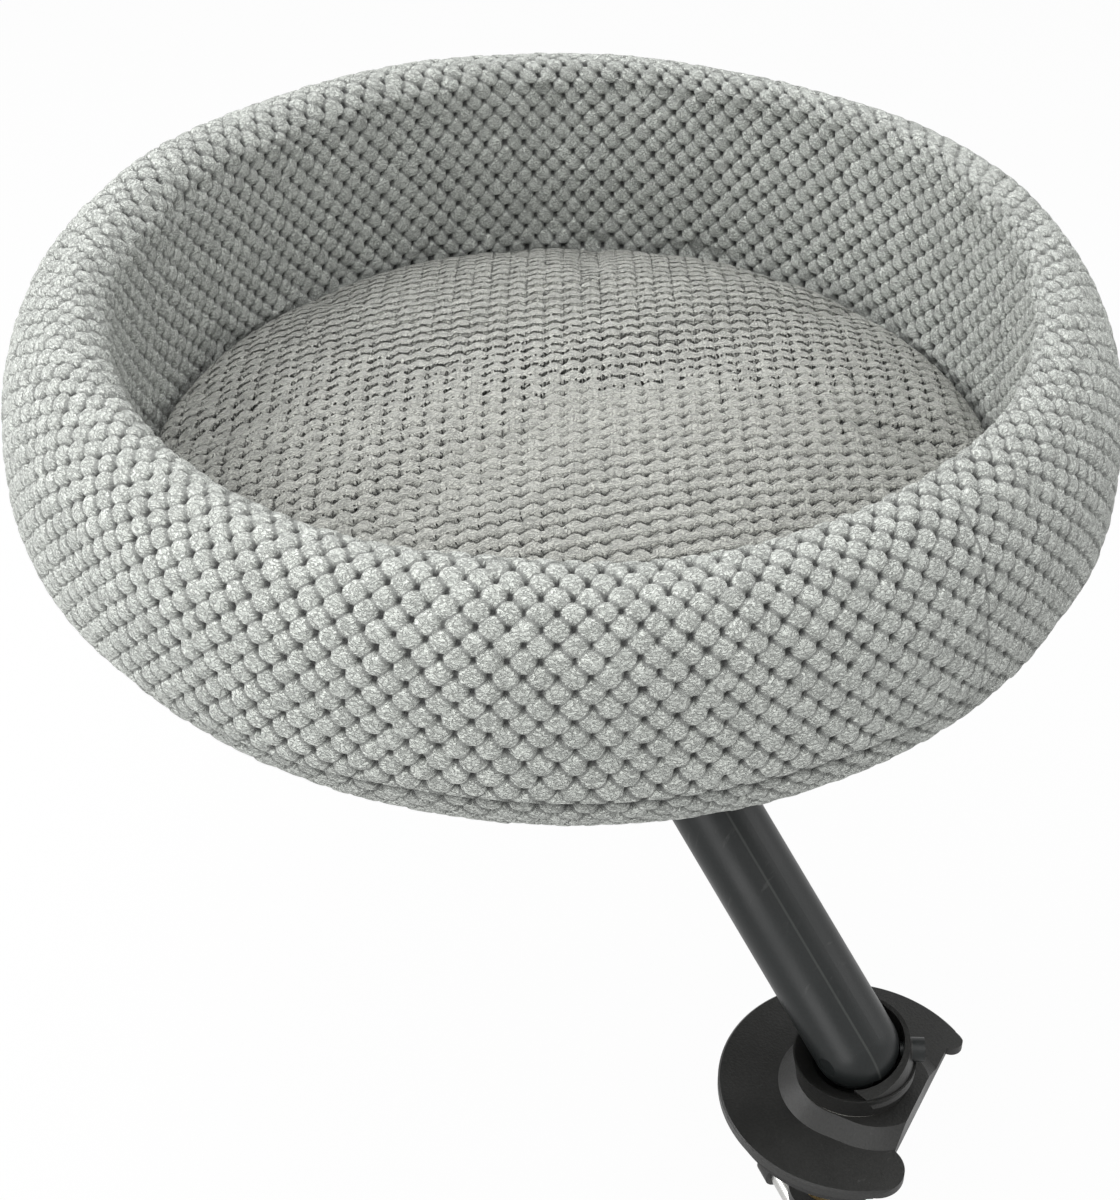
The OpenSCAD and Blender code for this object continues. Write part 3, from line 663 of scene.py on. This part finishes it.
def yarn_group():
    """Chenille pile: tangled strands as the middle lines of noise, and painted shade in the gaps at
    low loft.
    """
    tree, start, end = group_tree(
        "chenille_pile",
        [("Vector", "NodeSocketVector", None), ("Lay", "NodeSocketVector", None),
         ("Loft", "NodeSocketFloat", 1.0), ("Tone", "NodeSocketFloat", 0.0),
         ("Yarn", "NodeSocketColor", None), ("Shade", "NodeSocketColor", None)],
        [("Color", "NodeSocketColor"), ("Height", "NodeSocketFloat")])
    w = Wires(tree)
    lay = start.outputs["Lay"]
    coarse = w.noise(w.stretched(lay, STRANDS), 1.0, 2.0, 0.55)
    fine = w.noise(w.stretched(lay, HAIRS), 1.0, 2.0, 0.6)
    fuzz = w.noise(start.outputs["Vector"], FUZZ, 2.0, 0.6)
    cloud = w.noise(start.outputs["Vector"], CLOUD, 2.0)
    strand = w.spread(w.math("ABSOLUTE", w.math("SUBTRACT", coarse, 0.5)), 0.0, STRAND_WIDTH)
    thread = w.spread(w.math("ABSOLUTE", w.math("SUBTRACT", fine, 0.5)), 0.0, HAIR_WIDTH)
    # Painted shade: low loft, down between the stitches, takes the dark gap colour
    depth = w.spread(start.outputs["Loft"], 0.0, FULL_LOFT)
    color = w.mix(depth, start.outputs["Shade"], start.outputs["Yarn"])
    lines = w.math("MULTIPLY", w.math("ADD", 0.66, w.math("MULTIPLY", strand, 0.38)),
                   w.math("ADD", 0.80, w.math("MULTIPLY", thread, 0.24)))
    tone = w.math("ADD", w.math("MULTIPLY", start.outputs["Tone"], 0.045),
                  w.math("MULTIPLY", w.math("SUBTRACT", cloud, 0.5), 0.10))
    grain = w.math("MULTIPLY", w.math("SUBTRACT", fuzz, 0.5), 0.5)
    level = w.math("ADD", w.math("ADD", lines, tone), grain)
    gray = w.node("ShaderNodeCombineColor")
    for socket in gray.inputs[:3]:
        w.join(level, socket)
    w.join(w.mix(1.0, color, gray.outputs[0], "MULTIPLY"), end.inputs["Color"])
    pile = w.math("ADD", w.math("MULTIPLY", strand, 0.55), w.math("MULTIPLY", thread, 0.3))
    w.join(w.math("ADD", pile, w.math("MULTIPLY", fuzz, 0.25)), end.inputs["Height"])
    return tree


def brushed_group():
    """Plated metal: fine lines along one axis and a cloudy plating."""
    tree, start, end = group_tree(
        "brushed_plate",
        [("Vector", "NodeSocketVector", None), ("Lines", "NodeSocketVector", BRUSH_LINES),
         ("Light", "NodeSocketColor", None), ("Dark", "NodeSocketColor", None)],
        [("Color", "NodeSocketColor"), ("Roughness", "NodeSocketFloat"),
         ("Height", "NodeSocketFloat")])
    w = Wires(tree)
    lines = w.noise(w.stretched(start.outputs["Vector"], start.outputs["Lines"]), 1.0, 2.0)
    cloud = w.noise(start.outputs["Vector"], 60.0, 3.0)
    w.join(w.mix(w.spread(cloud, 0.35, 0.65), start.outputs["Dark"], start.outputs["Light"]),
           end.inputs["Color"])
    w.join(w.spread(lines, 0.3, 0.7, 0.24, 0.42), end.inputs["Roughness"])
    w.join(lines, end.inputs["Height"])
    return tree


def thread_group(axis_point, pitch):
    """A screw thread: a triangle wave of the height in pitches less the share of a turn."""
    tree, start, end = group_tree(
        "screw_thread", [("Vector", "NodeSocketVector", None)], [("Height", "NodeSocketFloat")])
    w = Wires(tree)
    split = w.node("ShaderNodeSeparateXYZ")
    w.join(w.shifted(start.outputs["Vector"], axis_point), split.inputs[0])
    turn = w.math("DIVIDE", w.math("ARCTAN2", split.outputs[1], split.outputs[0]), 2 * math.pi)
    climb = w.math("DIVIDE", split.outputs[2], pitch)
    w.join(w.math("PINGPONG", w.math("SUBTRACT", climb, turn), 0.5), end.inputs["Height"])
    return tree


def ply_group():
    """Plywood: a long grain on the faces."""
    tree, start, end = group_tree(
        "ply_grain",
        [("Vector", "NodeSocketVector", None), ("Light", "NodeSocketColor", None),
         ("Dark", "NodeSocketColor", None)],
        [("Color", "NodeSocketColor"), ("Height", "NodeSocketFloat")])
    w = Wires(tree)
    grain = w.noise(w.stretched(start.outputs["Vector"], PLY_LINES), 1.0, 4.0, 0.6)
    w.join(w.mix(w.spread(grain, 0.3, 0.7), start.outputs["Dark"], start.outputs["Light"]),
           end.inputs["Color"])
    w.join(grain, end.inputs["Height"])
    return tree


def rgba(color, gain=1.0):
    """The colour times a gain, with full cover."""
    return (color[0] * gain, color[1] * gain, color[2] * gain, 1.0)


def new_material(name, **values):
    """A material with one Principled shader; returns the material, its wires, shader and vector."""
    material = bpy.data.materials.new(name)
    material.use_nodes = True
    tree = material.node_tree
    shader = tree.nodes["Principled BSDF"]
    for key, value in values.items():
        shader.inputs[key.replace("_", " ")].default_value = value
    w = Wires(tree)
    return material, w, shader, w.node("ShaderNodeTexCoord").outputs["Object"]


def place_group(w, tree, **inputs):
    """A shader group placed in a material with its own values; returns its outputs."""
    made = w.node("ShaderNodeGroup")
    made.node_tree = tree
    for key, value in inputs.items():
        w.put(made.inputs[key], value)
    return made.outputs


def seen_rays(w):
    """1 on rays from the camera, from a shiny surface or through glass, which see plain white."""
    rays = w.node("ShaderNodeLightPath").outputs
    shiny = w.math("MAXIMUM", rays["Is Glossy Ray"], rays["Is Transmission Ray"])
    return w.math("MAXIMUM", rays["Is Camera Ray"], shiny)


def add_bump(w, shader, height, distance):
    """Fine relief in the shading, as deep as the distance."""
    bump = w.node("ShaderNodeBump")
    bump.inputs["Strength"].default_value = 1.0
    bump.inputs["Distance"].default_value = distance
    w.join(height, bump.inputs["Height"])
    w.join(bump.outputs["Normal"], shader.inputs["Normal"])


def painted(name, color, groups, smooth, rough, relief, spread=1.35, line=None, **values):
    """Paint, plastic or rubber: grain in colour, roughness and relief, with sparse scuffs.

    The roughness lies between smooth and rough, the grain is as deep as relief, and its light
    and dark are the colour times and over spread.
    """
    material, w, shader, vector = new_material(name, **values)
    grain = place_group(w, groups["grain"], Vector=vector, Light=rgba(color, spread),
                        Dark=rgba(color, 1 / spread), Smooth=smooth, Rough=rough)
    mask = place_group(w, groups["scuff"], Vector=vector, Amount=SCUFFS)["Mask"]
    tint = w.mix(mask, grain["Color"], SCUFF_TINT)
    # Painted highlight: a pale line mixed into the colour along the tube
    if line:
        tint = w.mix(w.math("MULTIPLY", line(w, vector), LINE_SHARE), tint, HIGHLIGHT_LINE_TINT)
    w.join(tint, shader.inputs["Base Color"])
    w.join(grain["Roughness"], shader.inputs["Roughness"])
    add_bump(w, shader, grain["Height"], relief)
    return material


def tube_highlight_line(w, vector):
    """Where the tube's painted highlight lies: a thin strip along its upper side, turned from side
    to up.
    """
    side = np.array([0, -1, 0])
    up = np.array([math.cos(TUBE_LEAN), 0, math.sin(TUBE_LEAN)])
    across = -math.sin(LINE_TURN) * side + math.cos(LINE_TURN) * up
    out = math.cos(LINE_TURN) * side + math.sin(LINE_TURN) * up
    local = w.shifted(vector, (TUBE_LOW + TUBE_HIGH) / 2)
    away = w.math("ABSOLUTE", w.dot(local, across))
    near = w.spread(away, LINE_CORE, LINE_EDGE, 1.0, 0.0)
    return w.math("MULTIPLY", near, w.math("GREATER_THAN", w.dot(local, out), 0.0))


def plated(name, light, dark, groups, thread=None):
    """Plated metal, brushed along its height, or with a screw thread."""
    material, w, shader, vector = new_material(name, Metallic=1.0)
    plate = place_group(w, groups["brushed"], Vector=vector, Lines=BRUSH_LINES,
                        Light=light, Dark=dark)
    w.join(plate["Color"], shader.inputs["Base Color"])
    w.join(plate["Roughness"], shader.inputs["Roughness"])
    if thread:
        add_bump(w, shader, place_group(w, thread, Vector=vector)["Height"], THREAD_RELIEF)
    else:
        add_bump(w, shader, plate["Height"], BRUSH_RELIEF)
    return material


def plywood(name, light, dark, groups):
    """Bare plywood with its grain."""
    material, w, shader, vector = new_material(name, Roughness=0.6)
    board = place_group(w, groups["ply"], Vector=vector, Light=light, Dark=dark)
    w.join(board["Color"], shader.inputs["Base Color"])
    add_bump(w, shader, board["Height"], PLY_RELIEF)
    return material


def knitted(name, yarn, shade, groups):
    """Matt yarn whose colour, with painted shade at low loft, and pile follow the loft, tone and lay
    kept on the mesh.
    """
    material, w, shader, vector = new_material(
        name, Roughness=0.95, Sheen_Weight=0.25, Sheen_Roughness=0.5, Specular_IOR_Level=0.2)
    loft = w.node("ShaderNodeAttribute", attribute_name="loft").outputs["Fac"]
    tone = w.node("ShaderNodeAttribute", attribute_name="tone").outputs["Fac"]
    lay = w.node("ShaderNodeAttribute", attribute_name="lay").outputs["Vector"]
    pile = place_group(w, groups["yarn"], Vector=vector, Lay=lay, Loft=loft, Tone=tone,
                       Yarn=rgba(yarn), Shade=rgba(shade))
    w.join(pile["Color"], shader.inputs["Base Color"])
    add_bump(w, shader, pile["Height"], PILE_RELIEF)
    return material


STORE = {}


def all_materials():
    """Every finish of the object, built once."""
    if "finishes" in STORE:
        return STORE["finishes"]
    scene = bpy.context.scene
    colors, knit = scene.bed_finish, scene.bed_knit
    groups = {"grain": grain_group(), "scuff": scuff_group(), "yarn": yarn_group(),
              "brushed": brushed_group(), "ply": ply_group()}
    axis = ((SCREW_LOW.x + SCREW_HIGH.x) / 2, (SCREW_LOW.y + SCREW_HIGH.y) / 2, 0.0)
    thread = thread_group(axis, SCREW_PITCH)
    STORE["finishes"] = {
        "black_casting": painted(
            "powder_coat", colors.casting, groups, smooth=0.36, rough=0.5, relief=0.00015,
            Specular_IOR_Level=0.4),
        "tube_paint": painted(
            "satin_paint", colors.tube, groups, smooth=0.34, rough=0.42, relief=0.00004,
            spread=1.12, line=tube_highlight_line, Specular_IOR_Level=0.3),
        "black_plastic": painted(
            "moulded_plastic", colors.casting, groups, smooth=0.45, rough=0.6, relief=0.0001),
        "black_steel": painted(
            "blackened_steel", colors.tube, groups, smooth=0.3, rough=0.42, relief=0.00004,
            Specular_IOR_Level=0.3),
        "rubber": painted(
            "pad_rubber", colors.rubber, groups, smooth=0.75, rough=0.9, relief=0.0003),
        "nylon": painted(
            "nylon", NYLON, groups, smooth=0.4, rough=0.55, relief=0.00004, spread=1.05),
        "steel": plated("zinc_plate", *ZINC, groups),
        "threaded": plated("oxide_thread", *OXIDE, groups, thread=thread),
        "brass": plated("plain_brass", *BRASS, groups),
        "plywood": plywood("plywood", *BIRCH, groups),
        "knit": knitted("chenille_knit", knit.yarn, knit.shade, groups),
        # painted shade and warm bounce light: the floor cushion takes the darker, warmer copy of the
        # yarn
        "floor_knit_shaded": knitted("chenille_floor_shaded", knit.floor_yarn_shaded, knit.shade, groups),
    }
    return STORE["finishes"]


# Pieces


class PETBED_OT_wall(Operator):
    """Knitted wall: the section is revolved, puffed as cloth and covered in raised stitches"""

    bl_idname = "petbed.wall"
    bl_label = "Knitted wall"

    def execute(self, context):
        size, knit = context.scene.bed_sizes, context.scene.bed_knit
        path, _ = even_steps(wall_path(size), WALL_STEP)
        grid = revolve(path, knit.columns * PER_STITCH // COARSE)
        out = outer_normals(grid, True)
        held = np.zeros(grid.shape[:2], bool)
        held[:, :2] = held[:, -3:] = True
        sway = wander(grid.shape[:2], *SWAY_WAVES, True) * size.unevenness
        grid = sagged(grid + out * (sway * ~held)[:, :, None], size)
        start = (grid - out * LOW_START).reshape(-1, 3)
        puffed = puff(start, ring_faces(grid), held.ravel(), WALL_PUFF)
        moved = puffed.reshape(grid.shape) - grid
        grid = grid + moved - np.sum(moved * out, 2).mean(0)[None, :, None] * out
        fine = refine(refine(grid, COARSE, 0, True), WALL_FINE, 1, False)
        out = outer_normals(fine, True)
        rows = fine.shape[1]
        length = np.r_[0, np.cumsum(np.linalg.norm(np.diff(fine[0], axis=0), axis=1))]
        u = np.arange(len(fine))[:, None] / PER_STITCH + np.zeros((1, rows))
        u = u + COLUMN_WANDER * wander(u.shape, *COLUMN_WAVES, True)
        v = length[None, :] / (2 * knit.row_pitch)
        v = v + ROW_WANDER * wander(u.shape, *ROW_WAVES, True)
        dome, tone = stitches(u, v, WALL_SEED, knit.columns, **WALL_STITCH)
        lip = np.clip((np.arange(rows) - LIP_START) / LIP_ROWS, 0, 1)
        fade = (end_fade(rows, FADE_ROWS) * lip)[None, :]
        fine = raised(fine, out, (dome - RAISED) * knit.relief, fade)
        around = u * 2 * math.pi * size.belly_radius / knit.columns
        lay = lay_of(around, v * 2 * knit.row_pitch, tone)
        obj = make_object("knit_wall", fine.reshape(-1, 3), [ring_faces(fine)],
                          [("loft", dome), ("tone", tone), ("lay", lay)])
        finish_piece(obj, "bed", "knit", all_materials()["knit"], "wall_cover", "wall_foam")
        return {"FINISHED"}


class PETBED_OT_base(Operator):
    """Rolled edge under the wall and the flat panel below the board, in the same knit"""

    bl_idname = "petbed.base"
    bl_label = "Rolled base"

    def execute(self, context):
        size, knit = context.scene.bed_sizes, context.scene.bed_knit
        columns = knit.columns * PER_STITCH
        roll, length = even_steps(base_path(size), BASE_STEP)
        back, hole = roll[-1, 0], (FLANGE_HIGH.y - FLANGE_LOW.y) / 2 + FLANGE_ROOM
        flat = np.stack([np.linspace(back, hole, 9)[1:], np.full(8, roll[-1, 1])], 1)
        inside = [[hole, -SKIN_GAP], [back + SKIN_GAP, -SKIN_GAP],
                  [back + SKIN_GAP, BOARD_THICK - SKIN_GAP],
                  [size.mouth_radius + WALL_GAP, BOARD_THICK - SKIN_GAP]]
        path = np.concatenate([roll, flat, inside])
        grid = sagged(revolve(path, columns), size)
        out = outer_normals(grid, True)
        rows = len(roll)
        u = np.arange(columns)[:, None] / PER_STITCH + np.zeros((1, rows))
        v = length[None, :] / (2 * knit.row_pitch) + np.zeros((columns, 1))
        dome, tone = stitches(u + BASE_SHIFT, v, BASE_SEED, knit.columns, **WALL_STITCH)
        fade = end_fade(rows, FADE_ROWS)[None, :]
        height = (dome - RAISED) * knit.relief
        grid[:, :rows] = raised(grid[:, :rows], out[:, :rows], height, fade)
        rest = np.zeros((columns, len(path) - rows))
        # Painted shadow under the fold: the loft, and with it the colour, is lowered near the base's
        # upper edge
        shadow = FOLD_SHADOW_LOFT + (1 - FOLD_SHADOW_LOFT) * np.clip(
            (length - SHADE_START) / SHADE_LENGTH, 0, 1)
        loft = np.concatenate([dome * shadow[None, :], rest + PLAIN_LOFT], 1)
        tone = np.concatenate([tone, rest], 1)
        flat_steps = np.arange(1, len(path) - rows + 1) * PANEL_STEP
        along = np.concatenate([length, length[-1] + flat_steps])
        turn = np.arange(columns)[:, None] * 2 * math.pi * size.fold_radius / columns
        lay = lay_of(turn + 0 * tone, along[None, :] + 0 * tone, tone)
        obj = make_object("rolled_base", grid.reshape(-1, 3), [ring_faces(grid)],
                          [("loft", loft), ("tone", tone), ("lay", lay)])
        finish_piece(obj, "bed", "knit", all_materials()["knit"], "bottom_cover", "base_foam")
        return {"FINISHED"}


class PETBED_OT_cushion(Operator):
    """Floor cushion: a crowned disc on a square grid, puffed as cloth, with rows of flat stitches"""

    bl_idname = "petbed.cushion"
    bl_label = "Floor cushion"

    def execute(self, context):
        knit = context.scene.bed_knit
        radius = (CUSHION_HIGH.x - CUSHION_LOW.x) / 2 - CUSHION_GAP
        base, crown = CUSHION_LOW.z, CUSHION_HIGH.z - CROWN_GAP
        seam = base + SEAM_HEIGHT
        pinch = (crown - base) * 0.25
        over = bezier([[radius, seam], [radius - pinch, seam + pinch],
                       [radius * 0.62, crown], [0, crown]], 40)[::-1]
        under = bezier([[FLAT_RADIUS, base], [(FLAT_RADIUS + radius) / 2, base],
                        [radius - pinch / 2, seam - pinch], [radius, seam]], 12)
        count = CUSHION_SIDE
        s = np.linspace(-1, 1, count)
        gx, gy = np.meshgrid(s, s, indexing="ij")
        x, y = gx * np.sqrt(1 - gy**2 / 2), gy * np.sqrt(1 - gx**2 / 2)
        r = np.minimum(np.hypot(x, y), 1) * radius
        calm = np.clip((radius - r) / CALM_EDGE, 0, 1)
        lumps = LUMP * wander((count, count), *LUMP_WAVES, False) * calm
        high = np.interp(r, over[:, 0], over[:, 1]) + lumps
        top = np.stack([BED_X + x * radius, y * radius, high], 2)
        low = np.where(r < FLAT_RADIUS, base, np.interp(r, under[:, 0], under[:, 1]))
        bottom = np.stack([top[:, :, 0], top[:, :, 1], low], 2)
        index = np.arange(count * count).reshape(count, count)
        under_index = index.copy()
        inner = (count - 2) ** 2
        under_index[1:-1, 1:-1] = count * count + np.arange(inner).reshape(count - 2, -1)
        points = np.concatenate([top.reshape(-1, 3), bottom[1:-1, 1:-1].reshape(-1, 3)])
        faces = np.concatenate([quads(index, False), quads(under_index, False)[:, ::-1]])
        faces = outward(points, faces)
        held = np.zeros(len(points), bool)
        held[count * count:] = True
        puffed = puff(points, faces, held, CUSHION_PUFF)
        fine = puffed[:count * count].reshape(count, count, 3)
        fine = refine(refine(fine, CUSHION_FINE, 0, False), CUSHION_FINE, 1, False)
        out = normals(fine, False)
        out *= np.sign(out[len(out) // 2, len(out) // 2, 2])
        cos, sin = math.cos(FLOOR_TURN), math.sin(FLOOR_TURN)
        along = (fine[:, :, 0] - BED_X) * cos + fine[:, :, 1] * sin
        across = fine[:, :, 1] * cos - (fine[:, :, 0] - BED_X) * sin
        rise = across - ROW_SLOPE * along
        dome, tone = stitches(along / knit.floor_width, rise / (2 * knit.floor_pitch),
                              FLOOR_SEED, FLOOR_COLUMNS, **FLOOR_STITCH)
        edge = end_fade(len(fine), FLOOR_FADE)
        fade = np.minimum(edge[:, None], edge[None, :])
        fine = raised(fine, out, (dome - FLOOR_RAISED) * FLOOR_RELIEF * knit.relief, fade)
        n = len(fine)
        index = np.arange(n * n).reshape(n, n)
        loop = np.concatenate([index[:-1, 0], index[-1, :-1], index[:0:-1, -1], index[0, :0:-1]])
        rim = fine.reshape(-1, 3)[loop]
        rings = [(under[k, 0] / radius, under[k, 1]) for k in (9, 6, 3, 0)] + [(0.3, base)]
        lower = np.concatenate([
            np.stack([BED_X + (rim[:, 0] - BED_X) * share, rim[:, 1] * share,
                      np.full(len(rim), height)], 1) for share, height in rings])
        points = np.concatenate([fine.reshape(-1, 3), lower, [[BED_X, 0, base]]])
        ring_index = np.concatenate([loop[:, None],
                                     (n * n + np.arange(len(lower))).reshape(len(rings), -1).T], 1)
        last = ring_index[:, -1]
        fan = np.stack([last, np.roll(last, -1), np.full(len(last), len(points) - 1)], 1)
        faces = np.concatenate([quads(index, False), quads(ring_index, True)])
        a, b, c = points[faces[:, 0]], points[faces[:, 1]], points[faces[:, 2]]
        away = points[faces].mean(1) - [BED_X, 0, (base + seam) / 2]
        flip = np.sum(np.cross(b - a, c - a) * away, 1) < 0
        faces[flip] = faces[flip][:, ::-1]
        fan = outward(points - [BED_X, 0, crown], fan)
        rest = np.full(len(points) - n * n, PLAIN_LOFT)
        lay = np.concatenate([lay_of(along, rise, 0 * tone), points[n * n:]])
        obj = make_object("floor_cushion", points, [faces, fan],
                          [("loft", np.concatenate([dome.ravel(), rest])),
                           ("tone", np.concatenate([tone.ravel(), rest * 0])), ("lay", lay)])
        finish_piece(obj, "cushion", "knit", all_materials()["floor_knit_shaded"],
                     "cushion_cover", "cushion_fill")
        return {"FINISHED"}


class PETBED_OT_hard_parts(Operator):
    """Finishes for the castings, tube, screws, washers and pads, which keep their solids"""

    bl_idname = "petbed.hard_parts"
    bl_label = "Hard parts"

    def execute(self, context):
        finishes = all_materials()
        slots = {entry["node"]: entry["material_slot"] for entry in frame["record"]["subparts"]}
        soft = {"knit": "knit", "foam": "knit"}
        for node, obj in frame["nodes"].items():
            key = "threaded" if node == "clamp_screw" else slots[node]
            material = finishes[soft.get(key, key)]
            if not obj.data.materials:
                obj.data.materials.append(material)
            for slot in obj.material_slots:
                slot.material = material
        return {"FINISHED"}


class PETBED_OT_stage(Operator):
    """Pale floor, soft studio light and the camera of the photograph"""

    bl_idname = "petbed.stage"
    bl_label = "Stage"

    def execute(self, context):
        scene = context.scene
        corners = FLOOR_SPAN * np.array([[-1, -1, 0], [1, -1, 0], [1, 1, 0], [-1, 1, 0]])
        floor = make_object("studio_floor", corners + [0, 0, FLOOR_Z], [np.array([[0, 1, 2, 3]])])
        material, w, shader, _ = new_material("pale_floor", Roughness=0.9)
        shader.inputs["Base Color"].default_value = FLOOR_GRAY
        glow = w.node("ShaderNodeEmission")
        glow.inputs["Color"].default_value = WHITE
        blend, open_below = w.node("ShaderNodeMixShader"), w.node("ShaderNodeMixShader")
        w.join(w.math("MULTIPLY", seen_rays(w), FLOOR_GLOW), blend.inputs[0])
        w.join(shader.outputs[0], blend.inputs[1])
        w.join(glow.outputs[0], blend.inputs[2])
        w.join(w.node("ShaderNodeNewGeometry").outputs["Backfacing"], open_below.inputs[0])
        w.join(blend.outputs[0], open_below.inputs[1])
        w.join(w.node("ShaderNodeBsdfTransparent").outputs[0], open_below.inputs[2])
        w.join(open_below.outputs[0], w.tree.nodes["Material Output"].inputs["Surface"])
        floor.data.materials.append(material)

        world = bpy.data.worlds.new("studio")
        scene.world = world
        world.use_nodes = True
        back = world.node_tree.nodes["Background"]
        back.inputs[0].default_value = WHITE
        sky = Wires(world.node_tree)
        sky.join(sky.spread(seen_rays(sky), 0.0, 1.0, SKY_LIGHT, 1.0), back.inputs[1])
        centre = Vector((BED_X, 0, BOARD_LOW.z))
        for name, offset, size, power in LAMPS:
            data = bpy.data.lights.new(name, "AREA")
            data.energy, data.size = power, size
            lamp = bpy.data.objects.new(name, data)
            lamp.location = centre + Vector(offset)
            aim = (centre - lamp.location).to_track_quat("-Z", "Y")
            lamp.rotation_euler = aim.to_euler()
            scene.collection.objects.link(lamp)

        data = bpy.data.cameras.new("photo_camera")
        data.lens, data.sensor_width, data.clip_end = CAMERA_LENS, CAMERA_SENSOR, CAMERA_REACH
        camera = bpy.data.objects.new("photo_camera", data)
        camera.location = CAMERA_PLACE
        camera.rotation_euler = CAMERA_TURN
        scene.collection.objects.link(camera)
        scene.camera = camera
        scene.view_settings.view_transform = "Standard"
        return {"FINISHED"}


class PETBED_PT_panel(Panel):
    """Lists the pieces of the pet bed"""

    bl_idname = "PETBED_PT_panel"
    bl_label = "Pet bed"
    bl_space_type = "VIEW_3D"
    bl_region_type = "UI"
    bl_category = "Pet bed"

    def draw(self, context):
        for group in ("bed_sizes", "bed_knit", "bed_finish"):
            settings = getattr(context.scene, group)
            column = self.layout.column(align=True)
            for key in settings.__annotations__:
                column.prop(settings, key)
        for operator in OPERATORS:
            self.layout.operator(operator.bl_idname)


SETTINGS = (("bed_sizes", BedSizes), ("bed_knit", KnitSettings), ("bed_finish", FinishSettings))
OPERATORS = (PETBED_OT_hard_parts, PETBED_OT_wall, PETBED_OT_base, PETBED_OT_cushion,
             PETBED_OT_stage)


def register():
    for name, kind in SETTINGS:
        bpy.utils.register_class(kind)
        setattr(bpy.types.Scene, name, PointerProperty(type=kind))
    for kind in OPERATORS + (PETBED_PT_panel,):
        bpy.utils.register_class(kind)


def unregister():
    for kind in reversed(OPERATORS + (PETBED_PT_panel,)):
        bpy.utils.unregister_class(kind)
    for name, kind in SETTINGS:
        delattr(bpy.types.Scene, name)
        bpy.utils.unregister_class(kind)


def main():
    register()
    for operator in OPERATORS:
        group, name = operator.bl_idname.split(".")
        getattr(getattr(bpy.ops, group), name)()


if __name__ == "__main__":
    main()
